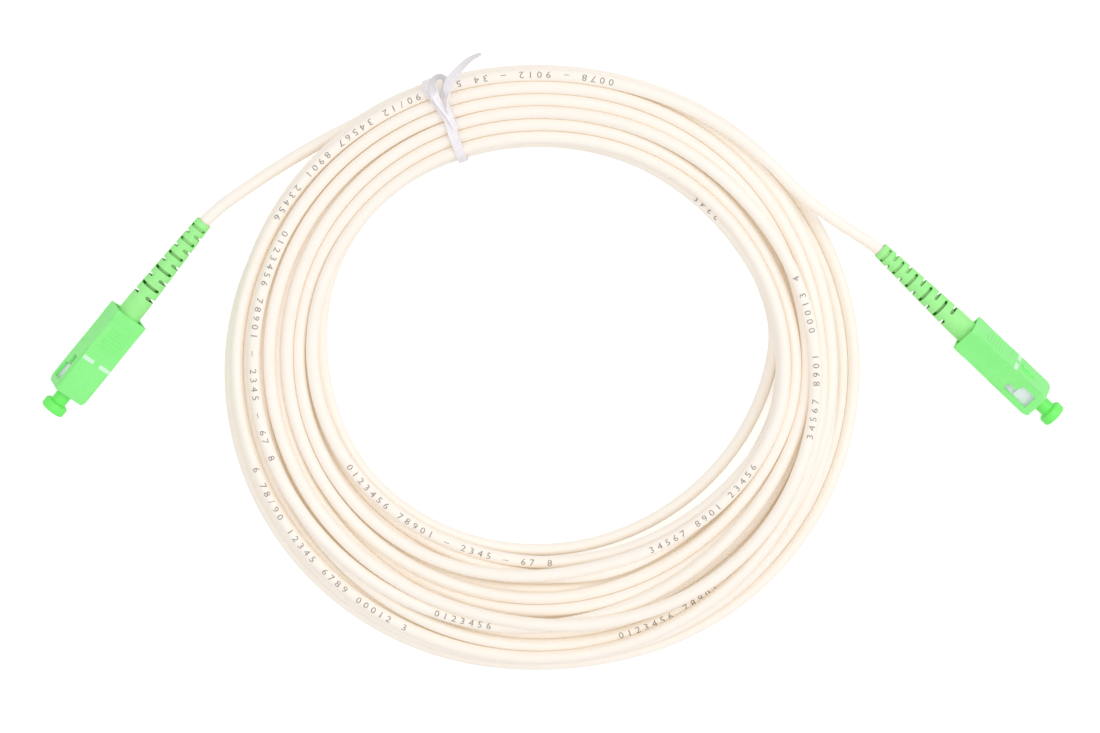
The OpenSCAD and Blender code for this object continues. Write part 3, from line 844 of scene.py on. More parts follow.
@dataclass(frozen=True)
class Ring:
    """A radius that changes round the coil, by angles and what it is at each of them."""

    marks: tuple[tuple[float, float], ...]

    def within(self, by: float) -> "Ring":
        """Returns the ring that lies further in by a length."""
        return Ring(tuple((angle, round(radius - by, 1)) for angle, radius in self.marks))

    def at(self, angles: Array) -> Array:
        """Reads the radius on the smooth closed curve through the marks.

        Args:
            angles: The angles.

        Returns:
            The radius at each.
        """
        known, radii = np.array(sorted((angle % 360, radius) for angle, radius in self.marks)).T
        turned = np.asarray(angles) % 360
        low = (np.searchsorted(known, turned, side="right") - 1) % len(known)
        high = (low + 1) % len(known)
        span = (np.roll(known, -1) - known) % 360
        rise = (np.roll(radii, -1) - radii) / span
        slope = (rise * np.roll(span, 1) + np.roll(rise, 1) * span) / (span + np.roll(span, 1))
        t = ((turned - known[low]) % 360) / span[low]
        ends = radii[low] * (1 + 2 * t) * (1 - t) ** 2 + radii[high] * t ** 2 * (3 - 2 * t)
        return ends + span[low] * t * (1 - t) * (slope[low] * (1 - t) - slope[high] * t)


@dataclass(frozen=True)
class Loose:
    """A stretch of the cable that runs by itself, by its first and last turn and the radii that it keeps."""

    first: float
    last: float
    ring: Ring
    ease: float = 0.06

    def share(self, turns: Array) -> Array:
        """Returns how far each point is in the stretch, from 0 outside it to 1."""
        part = np.clip(np.minimum(turns - self.first, self.last - turns) / self.ease, 0, 1)
        return part * part * (3 - 2 * part)


INNER_EDGE = Ring((
    (41, 58.2), (31, 57.6), (20, 54.9), (8, 51.7), (-10, 48.0), (-29, 46.2), (-47, 45.6), (-66, 46.2),
    (-85, 47.6), (-104, 49.6), (-120, 51.2), (-140, 53.4), (-159, 55.8), (-175, 56.9), (165, 56.6),
    (144, 54.6), (129, 53.8), (113, 54.0), (96, 54.8), (79, 56.0), (60, 57.5),
))
OUTER_EDGE = Ring((
    (86, 73.6), (75, 72.2), (63, 70.6), (51, 69.8), (40, 70.2), (28, 71.2), (15, 72.0), (0, 72.4),
    (-19, 71.4), (-35, 70.8), (-51, 71.0), (-66, 72.2), (-85, 74.0), (-103, 75.2), (-130, 75.7),
    (-155, 75.9), (-174, 74.8), (170, 73.4), (154, 72.2), (138, 71.2), (118, 71.3), (102, 72.4),
))
OUTERMOST = Ring((
    (47, 76.3), (28, 76.6), (6, 76.4), (-15, 74.2), (-35, 72.6), (-51, 72.6), (-66, 73.7), (-85, 75.4),
    (-103, 76.6), (-130, 77.1), (-155, 77.2), (-174, 76.2), (170, 74.4), (154, 72.9), (138, 71.9),
    (118, 72.0), (102, 73.0), (88, 74.2), (70, 76.0),
))
INNER_STRAND = Ring((
    (60, 57.6), (49, 56.2), (40, 54.4), (31, 51.8), (17, 48.3), (5, 46.0), (-10, 44.0), (-27, 43.2),
    (-46, 43.4), (-63, 44.0), (-80, 45.4), (-94, 47.4), (-107, 49.6), (-125, 52.5),
))


@dataclass
class Bundle:
    """The wound cable, settled under its own weight, with both leads."""

    winding: Winding = field(default_factory=Winding)
    loose: tuple[Loose, ...] = (
        Loose(-0.05, 0.92, OUTERMOST),
        Loose(0.95, 1.9, OUTERMOST.within(3.0)),
        Loose(5.29, 5.76, INNER_STRAND),
    )
    lead_a: tuple[Point, ...] = (
        (-83.6, -26.5, 4.7), (-83.1, -22.5, 4.4), (-82.1, -18.0, 4.0), (-81.1, -13.4, 3.6),
        (-80.1, -9.0, 3.2), (-78.8, -4.5, 2.9), (-77.5, 0.3, 2.6), (-76.0, 5.0, 2.4), (-74.4, 9.5, 2.2),
        (-72.6, 14.2, 2.1),
    )
    lead_b: tuple[Point, ...] = (
        (5.0, 73.9, 11.2), (10.0, 73.6, 10.7), (15.0, 73.5, 9.9), (20.0, 73.9, 8.9), (25.0, 74.6, 7.8),
        (30.0, 75.4, 6.8), (35.0, 76.3, 5.9),
    )
    stations: int = 72
    steps: int = 500
    late_share: float = 0.8
    squeeze_share: float = 0.4
    sag: float = 0.03
    hold: float = 0.06
    loose_hold: float = 0.25
    loose_room: float = 0.3
    lead_hold: float = 0.5
    evening: float = 0.35
    lead_evening: float = 0.05
    pushes: int = 3
    push: float = 0.45
    squeeze: float = 0.5
    spacing: float = 1.005
    far_away: float = 9000.0
    wander: float = 4.4
    wander_spans: tuple[tuple[float, float], ...] = ((40.0, 0.6), (40.0 * 2.7, 1.0))
    wander_at_tie: float = 0.1
    seed: int = 5

    def route(self) -> tuple[Array, Array, Array]:
        """Works out the route before it settles.

        Returns:
            The angle of each point, the turns to it from the coil's start, and its radius and height.
        """
        w = self.winding
        step = 360 / self.stations
        wound = [
            (w.start - swept, w.radius(swept / 360, w.start - swept), w.height(swept / 360, w.start - swept))
            for swept in np.arange(0, w.turns * 360 + step / 2, step)
        ]
        before = self.lead_stations(self.lead_a, w.start, 1)[::-1]
        after = self.lead_stations(self.lead_b, w.start - w.turns * 360, -1)
        route = np.vstack([before, wound, after])
        return route[:, 0], (w.start - route[:, 0]) / 360, route[:, 1:]

    def lead_stations(self, lead: tuple[Point, ...], from_angle: float, way: int) -> Array:
        """Reads a lead's route at the coil's stations.

        Args:
            lead: The lead's points.
            from_angle: The coil's angle where the lead joins it.
            way: 1 where the lead's angles grow from there, -1 where they fall.

        Returns:
            Angle, radius and height at each station, going away from the coil.
        """
        step = 360 / self.stations
        known, radii, heights = np.array(sorted(
            ((math.degrees(math.atan2(y, x)) - from_angle) * way % 360, math.hypot(x, y), z)
            for x, y, z in lead
        )).T
        swept = np.arange(1, int(known[-1] / step) + 1) * step
        return np.column_stack([
            from_angle + way * swept, np.interp(swept, known, radii), np.interp(swept, known, heights),
        ])

    def wandering(self, angles: Array) -> Array:
        """Works out how far each point strays outwards from an even winding.

        Args:
            angles: The points' angles.

        Returns:
            The stray of each point, least at the tie and most opposite it.
        """
        numbers = np.random.default_rng(self.seed)
        swept = angles[0] - angles
        stray = np.zeros(len(angles))
        for span, size in self.wander_spans:
            knots = numbers.normal(0, size, int(swept[-1] / span) + 3)
            place = swept / span
            low = place.astype(int)
            share = (1 - np.cos(np.pi * (place - low))) / 2
            stray += knots[low] * (1 - share) + knots[low + 1] * share
        away = np.array([swell(angle - self.winding.tie_angle) for angle in angles])
        return stray * self.wander * (self.wander_at_tie + (1 - self.wander_at_tie) * away ** 2)

    def guides(self, angles: Array, turns: Array) -> tuple[Array, ...]:
        """Works out what guides each point's radius.

        Args:
            angles: The points' angles.
            turns: The turns to each point.

        Returns:
            The least and the greatest radius, the radius aimed at, and how firmly it is aimed at.
        """
        low, high = INNER_EDGE.at(angles), OUTER_EDGE.at(angles)
        inside = np.clip(turns, 0, self.winding.turns - TINY)
        inward = np.array([self.winding.inward(turn) for turn in inside])
        target = np.clip(high - inward * (high - low) + self.wandering(angles), low, high)
        held = np.full(len(angles), self.hold)
        for stretch in self.loose:
            share, own = stretch.share(turns), stretch.ring.at(angles)
            target = target * (1 - share) + own * share
            low = low * (1 - share) + np.minimum(low, own - self.loose_room) * share
            high = high * (1 - share) + np.maximum(high, own + self.loose_room) * share
            held = np.maximum(held, self.loose_hold * share)
        return low, high, target, held

    def settle(self) -> tuple[Array, Array]:
        """Lets the turns settle on each other and on the surface, between the coil's inner and outer edge.

        Returns:
            The angle of each point, and its radius and height.
        """
        angles, turns, start = self.route()
        low, high, target, held = self.guides(angles, turns)
        leads = (turns < -TINY) | (turns > self.winding.turns + TINY)
        held[leads] = 0
        low[leads], high[leads] = 0, self.far_away
        floor = self.winding.cable_d / 2 + np.array([self.winding.lift(angle) for angle in angles])
        evening = np.where(leads, self.lead_evening, self.evening)[1:-1, None]
        place = start.copy()
        for step in range(self.steps):
            late = step > self.steps * self.late_share
            squeeze = self.squeeze * min(1.0, step / (self.steps * self.squeeze_share))
            if not late:
                place[~leads, 1] -= self.sag
                place[:, 0] += held * (target - place[:, 0])
            place[leads] += self.lead_hold * (start[leads] - place[leads])
            for _ in range(self.pushes):
                place += self.parted(place)
                place[:, 0] += squeeze * (np.clip(place[:, 0], low, high) - place[:, 0])
                place[:, 1] = np.maximum(place[:, 1], floor)
            for _ in range(1 if late else 2):
                inner = place[1:-1]
                place[1:-1] = inner + evening * ((place[:-2] + place[2:]) / 2 - inner)
            place[:, 1] = np.maximum(place[:, 1], floor)
        return angles, place

    def parted(self, place: Array) -> Array:
        """Works out how turns that overlap at a station push each other apart.

        Args:
            place: Each point's radius and height.

        Returns:
            The move of each point.
        """
        spare = np.full((-len(place) % self.stations, 2), self.far_away)
        grid = np.vstack([place, spare]).reshape(-1, self.stations, 2)
        gap = grid[:, None] - grid[None]
        distance = np.sqrt((gap ** 2).sum(-1)) + 1e-9
        over = np.clip(self.winding.cable_d * self.spacing - distance, 0, None)
        over[np.arange(len(grid)), np.arange(len(grid))] = 0
        moves = self.push * ((over / distance)[..., None] * gap).sum(1)
        return moves.reshape(-1, 2)[:len(place)]


# ---- Studio ----


@dataclass(frozen=True)
class Lamp:
    """A broad soft lamp: its place and size in metres, and its power in watts."""

    name: str
    place: Point
    size: float
    power: float


@dataclass(frozen=True)
class Studio:
    """The camera, the floor and the lamps, in metres."""

    aim: Point = (0.00116, 0.00161, 0.0)
    azimuth: float = 43.4
    elevation: float = 95.0
    distance: float = 0.75
    focal_px: float = 3075.0
    frame_px: int = 1100
    sensor_mm: float = 36.0
    clip: tuple[float, float] = (0.05, 20.0)
    floor_size: float = 6.0
    sky: float = 0.74
    lamps: tuple[Lamp, ...] = (
        Lamp("key", (0.5, 0.8, 1.3), 1.2, 6.2), Lamp("fill", (-0.3, -0.2, 1.6), 1.4, 3.1),
    )

    def add_camera(self) -> None:
        """Sets up the scene's camera, nearly overhead."""
        data = bpy.data.cameras.new("camera")
        data.sensor_width = self.sensor_mm
        data.lens = self.focal_px * self.sensor_mm / self.frame_px
        data.clip_start, data.clip_end = self.clip
        camera = placed("camera", data)
        az, el = math.radians(self.azimuth), math.radians(self.elevation)
        back = Vector((math.sin(az) * math.cos(el), -math.cos(az) * math.cos(el), math.sin(el)))
        right = Vector((math.cos(az), math.sin(az), 0.0))
        camera.location = Vector(self.aim) + back * self.distance
        camera.rotation_euler = Matrix((right, back.cross(right), back)).transposed().to_euler()
        bpy.context.scene.camera = camera

    def add_floor(self) -> None:
        """Adds the floor, which isn't part of the object."""
        bm = bmesh.new()
        bmesh.ops.create_grid(bm, x_segments=1, y_segments=1, size=self.floor_size / 2)
        floor = placed("floor", mesh_of(bm, "floor"))
        floor.data.materials.append(FloorFinish().make())

    def add_light(self) -> None:
        """Lights the scene with a plain pale sky, which looks white to the camera, and with the lamps."""
        scene = bpy.context.scene
        scene.view_settings.view_transform = "Standard"
        scene.world = bpy.data.worlds.new("sky")
        tree = NodeTree.fresh(scene.world)
        path = tree.add("LightPath").outputs
        seen = tree.math("MAXIMUM", path["Is Camera Ray"], path["Is Glossy Ray"])
        seen = tree.math("MAXIMUM", seen, path["Is Transmission Ray"])
        strength = tree.math("MULTIPLY_ADD", seen, 1.0 - self.sky, self.sky)
        sky = tree.add("Background", {"Color": WHITE, "Strength": strength})
        tree.add("OutputWorld", {"Surface": sky.outputs[0]})
        for lamp in self.lamps:
            data = bpy.data.lights.new(lamp.name, "AREA")
            data.size, data.energy = lamp.size, lamp.power
            light = placed(lamp.name, data)
            light.location = lamp.place
            light.rotation_euler = (-Vector(lamp.place)).to_track_quat("-Z", "Y").to_euler()


# ---- Cord ----


@dataclass
class Cable:
    """The jacket along the whole cord, from inside boot A to inside boot B."""

    shop: Workshop
    bundle: Bundle
    places: dict[End, Place]
    jacket_end: float = -2.4
    boot_step: float = 3.0
    bend_a: tuple[Point, ...] = ((-83.74, -29.3, 5.02), (-83.58, -26.0, 4.72))
    bend_b: tuple[Point, ...] = ((31.1, 75.75, 6.6), (35.0, 76.5, 5.85), (38.6, 77.05, 5.4))
    bevel_resolution: int = 6
    smooth: float = 60.0

    def line(self) -> Array:
        """Works out the cable's middle line: through boot A, the first bend, the coil and back out.

        Returns:
            Its points.
        """
        angles, settled = self.bundle.settle()
        turned, (radii, heights) = np.radians(angles), settled.T
        wound = np.column_stack([radii * np.cos(turned), radii * np.sin(turned), heights])
        stations = np.arange(self.jacket_end, -BOOT_LENGTH, -self.boot_step)
        runs = {end: np.array([place.on_axis(x) for x in stations]) for end, place in self.places.items()}
        return self.refined(np.vstack([runs[End.A], self.bend_a, wound, self.bend_b, runs[End.B][::-1]]))

    @staticmethod
    def refined(line: Array) -> Array:
        """Puts a point between each two, on the curve through their neighbours.

        Args:
            line: The points.

        Returns:
            Nearly twice as many points.
        """
        ends = with_ends(line)
        fuller = np.empty((2 * len(line) - 1, 3))
        fuller[0::2] = line
        fuller[1::2] = (9 * (ends[1:-2] + ends[2:-1]) - ends[:-3] - ends[3:]) / 16
        return fuller

    def build(self) -> list[Piece]:
        """Makes the cable and its print.

        Returns:
            The pieces.
        """
        line = self.line()
        radius = self.bundle.winding.cable_d / 2
        curve = bpy.data.curves.new("cable_line", "CURVE")
        curve.dimensions = "3D"
        points = curve.splines.new("POLY").points
        points.add(len(line) - 1)
        points.foreach_set("co", np.column_stack([line * MM, np.ones(len(line))]).ravel())
        curve.bevel_depth = radius * MM
        curve.bevel_resolution = self.bevel_resolution
        curve.use_fill_caps = True
        mesh = mesh_of_curve(curve)
        mesh.name = "cable"
        self.mark_lay(mesh, line)
        piece = self.shop.piece(mesh, "cord", Slot.JACKET, smooth=self.smooth)
        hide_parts("cable_lead_a", "cable_coil", "cable_lead_b")
        self.declare()
        return [piece, Legend(self.shop, line, radius).build()]

    def mark_lay(self, mesh: Mesh, line: Array) -> None:
        """Writes the attribute that the jacket's material follows: along the cable, and around it.

        Args:
            mesh: The tube.
            line: The cable's middle line.
        """
        points = np.empty(len(mesh.vertices) * 3, np.float32)
        mesh.vertices.foreach_get("co", points)
        points = points.reshape(-1, 3) / MM
        rings = np.minimum(np.arange(len(points)) // (len(points) // len(line)), len(line) - 1)
        middle = line[rings]
        out = np.linalg.norm(points[:, :2], axis=1) - np.linalg.norm(middle[:, :2], axis=1)
        lay = np.column_stack([run_of(line)[rings], points[:, 2] - middle[:, 2], out])
        attribute = mesh.attributes.new("lay", "FLOAT_VECTOR", "POINT")
        attribute.data.foreach_set("vector", lay.astype(np.float32).ravel())

    def declare(self) -> None:
        tip = self.places[End.A].on_axis(-BOOT_LENGTH) * MM


@dataclass(frozen=True)
class Stamp:
    """One group of printed signs: where its first sign is, by angle and radius, and the signs."""

    angle: float
    radius: float
    signs: str


@dataclass
class Legend:
    """The print on the jacket: generic groups of digits and dashes, bent round the cable."""

    shop: Workshop
    line: Array
    radius: float
    height: float = 1.6
    stretch: float = 1.15
    pitch: float = 2.15
    lift: float = 0.015
    em_height: float = 0.7
    slice_mm: float = 0.22
    reach: float = 2.4
    height_for_reach: float = 0.4
    look_ahead: float = 0.5
    smooth: float = 60.0
    stamps: tuple[Stamp, ...] = (
        Stamp(193.8, 69.1, "0123456 78901 – 2345 – 67 8"),
        Stamp(158.0, 70.9, "90/12 34567 8901 23456"),
        Stamp(120.8, 69.2, "0078 – 9012 – 34 5"),
        Stamp(242.8, 71.5, "6 78/90 12345 6789 00012 3"),
        Stamp(251.1, 53.6, "0123456 78901 – 2345 – 67 8"),
        Stamp(289.9, 63.6, "0123456"),
        Stamp(330.9, 67.0, "0123456 78901 – 2345 – 67 8"),
        Stamp(29.4, 67.8, "34567 8901"),
        Stamp(52.3, 65.6, "00013 4"),
        Stamp(345.0, 50.8, "34567 8901 23456"),
        Stamp(85.6, 55.2, "2345"),
    )
    glyphs: dict[str, Mesh] = field(default_factory=dict)

    def __post_init__(self) -> None:
        """Measures the cable."""
        self.along = run_of(self.line)

    def glyph(self, sign: str) -> Mesh:
        """Gives one sign's flat mesh, cut into strips so that it can bend.

        Args:
            sign: The sign.

        Returns:
            The mesh, in millimetres, with its middle on the zero point.
        """
        if sign not in self.glyphs:
            curve = bpy.data.curves.new(f"sign_{sign}", "FONT")
            curve.body = sign
            curve.size = 1.0
            curve.resolution_u = 2
            mesh = mesh_of_curve(curve)
            bm = bmesh.new()
            bm.from_mesh(mesh)
            middle = (min(v.co.x for v in bm.verts) + max(v.co.x for v in bm.verts)) / 2
            bmesh.ops.translate(bm, vec=(-middle, -self.em_height / 2, 0.0), verts=bm.verts)
            grow = self.height / self.em_height
            scale_all(bm, (grow * self.stretch, grow, 1.0))
            for place in np.arange(-self.height / 2, self.height / 2, self.slice_mm):
                bmesh.ops.bisect_plane(bm, geom=bm.verts[:] + bm.edges[:] + bm.faces[:],
                                       plane_co=(0.0, place, 0.0), plane_no=(0.0, 1.0, 0.0))
            bm.to_mesh(mesh)
            bm.free()
            self.glyphs[sign] = mesh
        return self.glyphs[sign]

    def start(self, stamp: Stamp) -> float:
        """Finds the top strand at a group's first sign.

        Args:
            stamp: The group.

        Returns:
            The length along the cable there.
        """
        angle = math.radians(stamp.angle)
        spot = np.array([stamp.radius * math.cos(angle), stamp.radius * math.sin(angle)])
        away = np.linalg.norm(self.line[:, :2] - spot, axis=1)
        score = np.where(away < self.reach, self.line[:, 2] - self.height_for_reach * away, -np.inf)
        return float(self.along[int(np.argmax(score))])

    def at(self, lengths: Array) -> Array:
        """Returns the points of the cable's middle line at some lengths along it."""
        return np.column_stack([np.interp(lengths, self.along, axis) for axis in self.line.T])

    def bent(self, lengths: Array, heights: Array) -> Array:
        """Bends flat points round the cable.

        Args:
            lengths: Each point's length along the cable.
            heights: Its height on the print, towards the coil's middle.

        Returns:
            The points on the jacket.
        """
        middle = self.at(lengths)
        way = self.at(lengths + self.look_ahead) - middle
        way /= np.linalg.norm(way, axis=1)[:, None]
        up = np.array([0.0, 0.0, 1.0]) - way * way[:, 2:]
        up /= np.linalg.norm(up, axis=1)[:, None]
        inward = np.cross(up, way)
        inward *= np.sign((inward * -middle).sum(1))[:, None]
        turn = (heights / self.radius)[:, None]
        return middle + (self.radius + self.lift) * (np.cos(turn) * up + np.sin(turn) * inward)

    def build(self) -> Piece:
        """Makes the print as one piece.

        Returns:
            The piece.
        """
        bm = bmesh.new()
        for stamp in self.stamps:
            first = self.start(stamp)
            for number, sign in enumerate(stamp.signs):
                if sign == " ":
                    continue
                known = len(bm.verts)
                bm.from_mesh(self.glyph(sign))
                bm.verts.ensure_lookup_table()
                fresh = bm.verts[known:]
                lengths = np.array([first - number * self.pitch - v.co.x for v in fresh])
                for vert, place in zip(fresh, self.bent(lengths, np.array([v.co.y for v in fresh]))):
                    vert.co = place * MM
        mesh = mesh_of(bm, "jacket_print")
        return self.shop.piece(mesh, "cord", Slot.JACKET, smooth=self.smooth, finish=PRINT_INK)


# ---- Tie ----


@dataclass(frozen=True)
class Strap:
    """A flat plastic strap along a given route.

    Each mark on the route is a point. The direction of the strap's width and the width may follow it, and
    are the strap's usual ones where they don't. Its greyness, which is painted shade, is given for its start,
    middle and end.
    """

    marks: tuple[tuple[float, ...], ...]
    side: Point = (-0.44, -0.9, 0.0)
    width: float = 2.3
    thickness: float = 0.45
    painted_shade: Point = (0.0, 0.0, 0.0)
    parts: int = 6

    def table(self) -> Array:
        """Works out the smooth route.

        Returns:
            The point, the width's direction and the width at each station.
        """
        usual = (0.0, 0.0, 0.0, *self.side, self.width)
        marks = np.array([(*mark, *usual[len(mark):]) for mark in self.marks])
        ends = with_ends(marks)
        rows = []
        for n in range(1, len(ends) - 2):
            a, b, c, d = ends[n - 1:n + 3]
            for t in np.arange(self.parts) / self.parts:
                rows.append(0.5 * (2 * b + (c - a) * t + (2 * a - 5 * b + 4 * c - d) * t ** 2
                                   + (3 * b - a - 3 * c + d) * t ** 3))
        return np.array([*rows, marks[-1]])

    def stations(self) -> list[Matrix]:
        """Gives the matrix that puts a unit square across the strap, at each station.

        Returns:
            The matrices.
        """
        table = self.table()
        found = []
        for row, step in zip(table, np.gradient(table[:, :3], axis=0)):
            way = Vector(step).normalized()
            side = Vector(row[3:6])
            side = (side - way * side.dot(way)).normalized()
            turn = Matrix((side * row[6], way.cross(side) * self.thickness, way)).transposed().to_4x4()
            found.append(Matrix.Translation(row[:3]) @ turn)
        return found

    def add_to(self, bm: BMesh) -> None:
        """Adds the strap to a bmesh, in millimetres.

        Args:
            bm: The bmesh.
        """
        stations = self.stations()
        # The painted shade goes on each point as an attribute that the tie's finish reads.
        layer = bm.verts.layers.float.get("painted_shade") or bm.verts.layers.float.new("painted_shade")
        made = bmesh.ops.create_grid(bm, x_segments=1, y_segments=1, size=0.5, matrix=stations[0])["verts"]
        face = made[0].link_faces[0]
        strip = set(made)
        for number, (before, after) in enumerate(zip(stations, stations[1:])):
            grown = bmesh.ops.extrude_face_region(bm, geom=[face])["geom"]
            verts = [v for v in grown if isinstance(v, bmesh.types.BMVert)]
            if number:
                bmesh.ops.delete(bm, geom=[face], context="FACES_ONLY")
            face = next(f for f in grown if isinstance(f, bmesh.types.BMFace))
            bmesh.ops.transform(bm, matrix=after @ before.inverted(), verts=verts)
            strip.update(verts)
            share = (number + 1) / (len(stations) - 1)
            for vert in verts:
                vert[layer] = float(np.interp(share, (0.0, 0.5, 1.0), self.painted_shade))
        bmesh.ops.recalc_face_normals(bm, faces=list({f for v in strip for f in v.link_faces}))


BAND = Strap((
    (-57.5, 28.0, 0.27), (-51.5, 25.2, 0.27), (-49.6, 24.4, 0.6), (-48.5, 23.8, 2.2), (-48.4, 23.8, 5.0),
    (-48.6, 23.9, 8.2), (-49.3, 24.2, 10.7), (-50.1, 24.6, 11.9), (-51.6, 25.4, 12.5), (-54.4, 26.8, 12.7),
    (-57.4, 28.5, 12.8), (-60.2, 29.4, 13.0), (-63.2, 30.1, 12.8, -0.44, -0.9, 0.0, 2.5),
    (-65.5, 30.4, 12.4, -0.44, -0.9, 0.0, 2.6), (-66.7, 30.7, 11.9, -0.44, -0.9, 0.0, 2.6),
    (-67.2, 31.1, 10.4, -0.44, -0.9, 0.0, 2.5), (-67.4, 31.4, 7.2), (-68.2, 31.6, 2.9), (-67.5, 31.6, 0.9),
    (-64.5, 31.2, 0.27), (-57.8, 28.6, 0.29),
))
SECOND_LAYER = Strap((
    (-54.0, 27.5, 12.5, -0.5, -0.8, 0.1, 0.9), (-55.9, 28.6, 13.2, -0.5, -0.8, 0.3, 1.4),
    (-58.4, 29.5, 13.7, -0.4, -0.8, 0.4, 1.7), (-61.0, 29.9, 13.9, -0.2, -0.9, 0.4, 1.8),
    (-63.2, 30.4, 14.1, 0.1, -1.0, 0.3, 1.9), (-64.8, 31.4, 13.9, 0.4, -0.9, 0.2, 1.9),
    (-65.9, 32.8, 12.8, 0.6, -0.8, 0.1, 1.8),
), thickness=0.35)
# The tail greys towards its tip: painted shade.
TAIL = Strap((
    (-56.6, 28.9, 12.9, -0.4, -0.9, 0.0, 1.3), (-58.4, 29.9, 13.5, 0.5, -0.8, 0.2, 1.6),
    (-60.2, 31.1, 14.1, 0.7, -0.7, 0.2, 1.9), (-61.6, 32.3, 14.8, 0.8, -0.6, 0.1, 2.2),
    (-62.8, 33.8, 15.6, 0.9, -0.4, 0.0, 2.3), (-63.6, 35.7, 16.3, 1.0, -0.3, 0.0, 2.3),
    (-63.9, 38.1, 16.9, 1.0, -0.1, 0.1, 2.0), (-63.9, 40.5, 17.3, 1.0, 0.0, 0.4, 1.7),
    (-63.6, 42.9, 17.5, 1.0, 0.2, 0.6, 1.4), (-62.9, 44.8, 17.5, 0.9, 0.3, 0.7, 1.1),
    (-62.6, 45.4, 17.4, 0.9, 0.3, 0.7, 0.7),
), painted_shade=(0.0, 0.05, 0.6))
# The loop's greyness is painted shade: the inside of the loop, as if in shadow.
LOOP = Strap((
    (-63.3, 29.7, 13.5, -0.6, -0.5, 0.5, 1.4), (-64.8, 30.7, 14.8, -0.5, -0.6, 0.6, 1.6),
    (-66.1, 31.9, 15.8, -0.7, -0.3, 0.7, 1.7), (-66.6, 33.8, 16.3, -0.7, 0.3, 0.7, 1.7),
    (-65.7, 35.1, 16.2, -0.3, 0.6, 0.7, 1.6), (-64.3, 34.8, 15.6, 0.0, 0.8, 0.6, 1.5),
    (-63.3, 32.9, 14.6, 0.4, 0.6, 0.6, 1.3), (-62.4, 31.2, 13.6, 0.5, 0.5, 0.6, 1.2),
), thickness=0.35, painted_shade=(0.0, 1.0, 0.7))


@dataclass
class Tie:
    """The flat tie: the band round the turns, its knot, and the tail that stands away."""

    shop: Workshop
    straps: tuple[Strap, ...] = (BAND, SECOND_LAYER, TAIL, LOOP)
    edge: float = 0.1
    corner: float = 60.0
    smooth: float = 50.0

    def build(self) -> list[Piece]:
        """Makes the tie.

        Returns:
            The piece.
        """
        bm = bmesh.new()
        for strap in self.straps:
            strap.add_to(bm)
        round_edges(bm, self.corner, self.edge)
        scale_all(bm, TO_METRES)
        piece = self.shop.piece(mesh_of(bm, "tie_strap"), "cord", Slot.TIE, smooth=self.smooth, even=True)
        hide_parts("twist_tie")
        return [piece]


# ---- Plugs ----


@dataclass(frozen=True)
class SleeveSize:
    """Sizes of the grip sleeve and its key, which settle how high a turned plug lies."""

    width: float = 9.0
    height: float = 7.4
    edge: float = 0.9
    key_w: float = 2.0
    key_h: float = 0.5

    def lie(self, roll: float) -> float:
        """Works out how high a plug's axis is when it lies on the surface.

        Args:
            roll: The plug's turn about its axis.

        Returns:
            The height.
        """
        s, c = math.sin(math.radians(roll)), math.cos(math.radians(roll))
        body = (self.width / 2 - self.edge) * abs(s) + (self.height / 2 - self.edge) * abs(c) + self.edge
        return max(body, self.key_w / 2 * abs(s) - (self.height / 2 + self.key_h) * c)


@dataclass(frozen=True)
class BootSlots:
    """The boot's rows of slots, as the CAD source has them, and how wide they look when it lies straight."""

    tip: float = -BOOT_LENGTH
    base: float = -6.0
    rows: int = 10
    first: float = 1.9
    pitch: float = 2.05
    growth: float = 0.066
    width: float = 0.95
    shown: float = 0.72
    # Radii and reach of the sheet of painted green light in the slots.
    slot_light_radii: tuple[float, float] = (1.58, 1.72)
    slot_light_from: float = 0.6
    slot_light_past: float = 1.5

    def middles(self) -> list[float]:
        """Returns each row's middle along the plug's axis."""
        first = self.tip + self.first
        return [first + self.pitch * k + self.growth * k * (k - 1) / 2 for k in range(self.rows)]

    def narrow(self, bm: BMesh, place: Place) -> None:
        """Brings the walls of each slot nearer to each other.

        Args:
            bm: The boot's bmesh, in metres in its place.
            place: The plug's place.
        """
        known, moved = (
            [self.tip, *(m + s * width / 2 for m in self.middles() for s in (-1, 1)), self.base]
            for width in (self.width, self.shown)
        )
        there = place.matrix()
        back = there.inverted()
        for vert in bm.verts:
            point = back @ (vert.co / MM)
            if self.tip < point.x < self.base:
                point.x = float(np.interp(point.x, known, moved))
            vert.co = (there @ point) * MM

    def add_slot_green_light(self, shop: Workshop, name: str, place: Place) -> Piece:
        """Adds a sheet in the boot that shows in the slots in the jacket's stead: painted light, the jacket
        lit green.

        Args:
            shop: The workshop.
            name: The piece's name.
            place: The plug's place.

        Returns:
            The piece.
        """
        low, high = self.tip + self.slot_light_from, self.middles()[-1] + self.slot_light_past
        bm = bmesh.new()
        turn = Matrix.Translation(((low + high) / 2, 0.0, 0.0)) @ Matrix.Rotation(math.radians(90), 4, "Y")
        bmesh.ops.create_cone(bm, cap_ends=True, segments=48, radius1=self.slot_light_radii[0], radius2=self.slot_light_radii[1],
                              depth=high - low, matrix=place.matrix() @ turn)
        scale_all(bm, TO_METRES)
        bmesh.ops.recalc_face_normals(bm, faces=bm.faces)
        return shop.piece(mesh_of(bm, name), "cord", Slot.BOOT, place, finish=SLOT_GREEN_LIGHT)


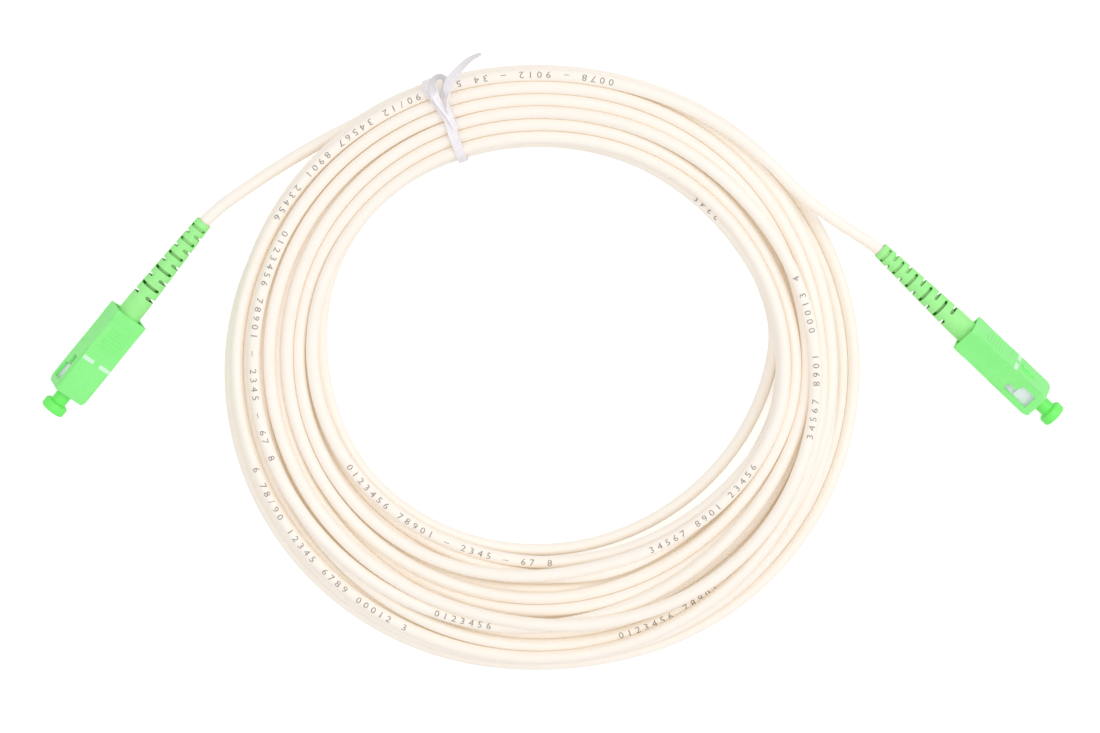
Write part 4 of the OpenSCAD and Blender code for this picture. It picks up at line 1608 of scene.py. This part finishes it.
@dataclass
class Plug:
    """One push-pull plug: its CAD nodes, rounded where they show, and their finishes."""

    shop: Workshop
    end: End
    boot_tip: tuple[float, float]
    aim: float
    roll: float
    sleeve: SleeveSize = SleeveSize()
    slots: BootSlots = BootSlots()
    shells: tuple[Shell, ...] = (
        Shell("grip_sleeve", Slot.SLEEVE, edge=0.1, corner=60.0, body="sleeve"),
        Shell("plug_frame", Slot.FRAME, edge=0.06),
        Shell("boot", Slot.BOOT, edge=0.05),
        Shell("dust_cap", Slot.CAP, edge=0.08, body="cap"),
    )
    inner: tuple[tuple[str, Slot], ...] = (
        ("ferrule", Slot.ZIRCONIA), ("ferrule_flange", Slot.PLATED), ("backbone", Slot.PLATED),
        ("crimp_sleeve", Slot.CRIMP), ("aramid_yarn", Slot.YARN), ("buffered_fibre", Slot.BUFFER),
    )

    def place(self) -> Place:
        """Works out where the plug lies.

        Returns:
            Its place.
        """
        way = math.radians(self.aim)
        x = self.boot_tip[0] + BOOT_LENGTH * math.cos(way)
        y = self.boot_tip[1] + BOOT_LENGTH * math.sin(way)
        return Place((x, y, self.sleeve.lie(self.roll)), self.roll, self.aim)

    def build(self) -> list[Piece]:
        """Rounds the pieces that show and dresses the ones within.

        Returns:
            The new pieces.
        """
        side, place = self.end.value, self.place()
        made = []
        for shell in self.shells:
            bm = self.shop.copy_of(shell.node(self.end))
            if shell.slot is Slot.BOOT:
                self.slots.narrow(bm, place)
            made.append(self.shop.rounded(bm, shell, self.end, place))
        # The sheet in the slots paints the jacket as lit green by the boot.
        made.append(self.slots.add_slot_green_light(self.shop, f"boot_liner_{side}", place))
        made.append(self.add_spring(side, place))
        for part, slot in self.inner:
            self.shop.dress(f"{part}_{side}", slot, place)
        return made

    def add_spring(self, side: str, place: Place) -> Piece:
        """Adds the ferrule's spring.

        Args:
            side: The plug's letter.
            place: Where the plug lies.

        Returns:
            The piece.
        """
        node = f"ferrule_spring_{side}"
        bm = self.shop.copy_of(node)
        piece = self.shop.piece(mesh_of(bm, f"live_spring_{side}"), None, Slot.SPRING, place)
        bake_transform(piece)
        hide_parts(node)
        return piece


def main() -> None:
    """Builds the patch cord's looks round the frame."""
    logging.basicConfig(level=logging.INFO, format="%(message)s")
    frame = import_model()
    studio = Studio()
    studio.add_camera()
    shop = Workshop(frame)
    plugs = (
        Plug(shop, End.A, boot_tip=(-83.82, -30.0), aim=-86.0, roll=152.0),
        Plug(shop, End.B, boot_tip=(39.3, 77.26), aim=0.0, roll=-64.0),
    )
    cable = Cable(shop, Bundle(), {plug.end: plug.place() for plug in plugs})
    for assembly in (*plugs, cable, Tie(shop)):
        for piece in assembly.build():
            LOG.info("%s: %d faces", piece.name, len(piece.data.polygons))
    studio.add_floor()
    studio.add_light()


if __name__ == "__main__":
    main()
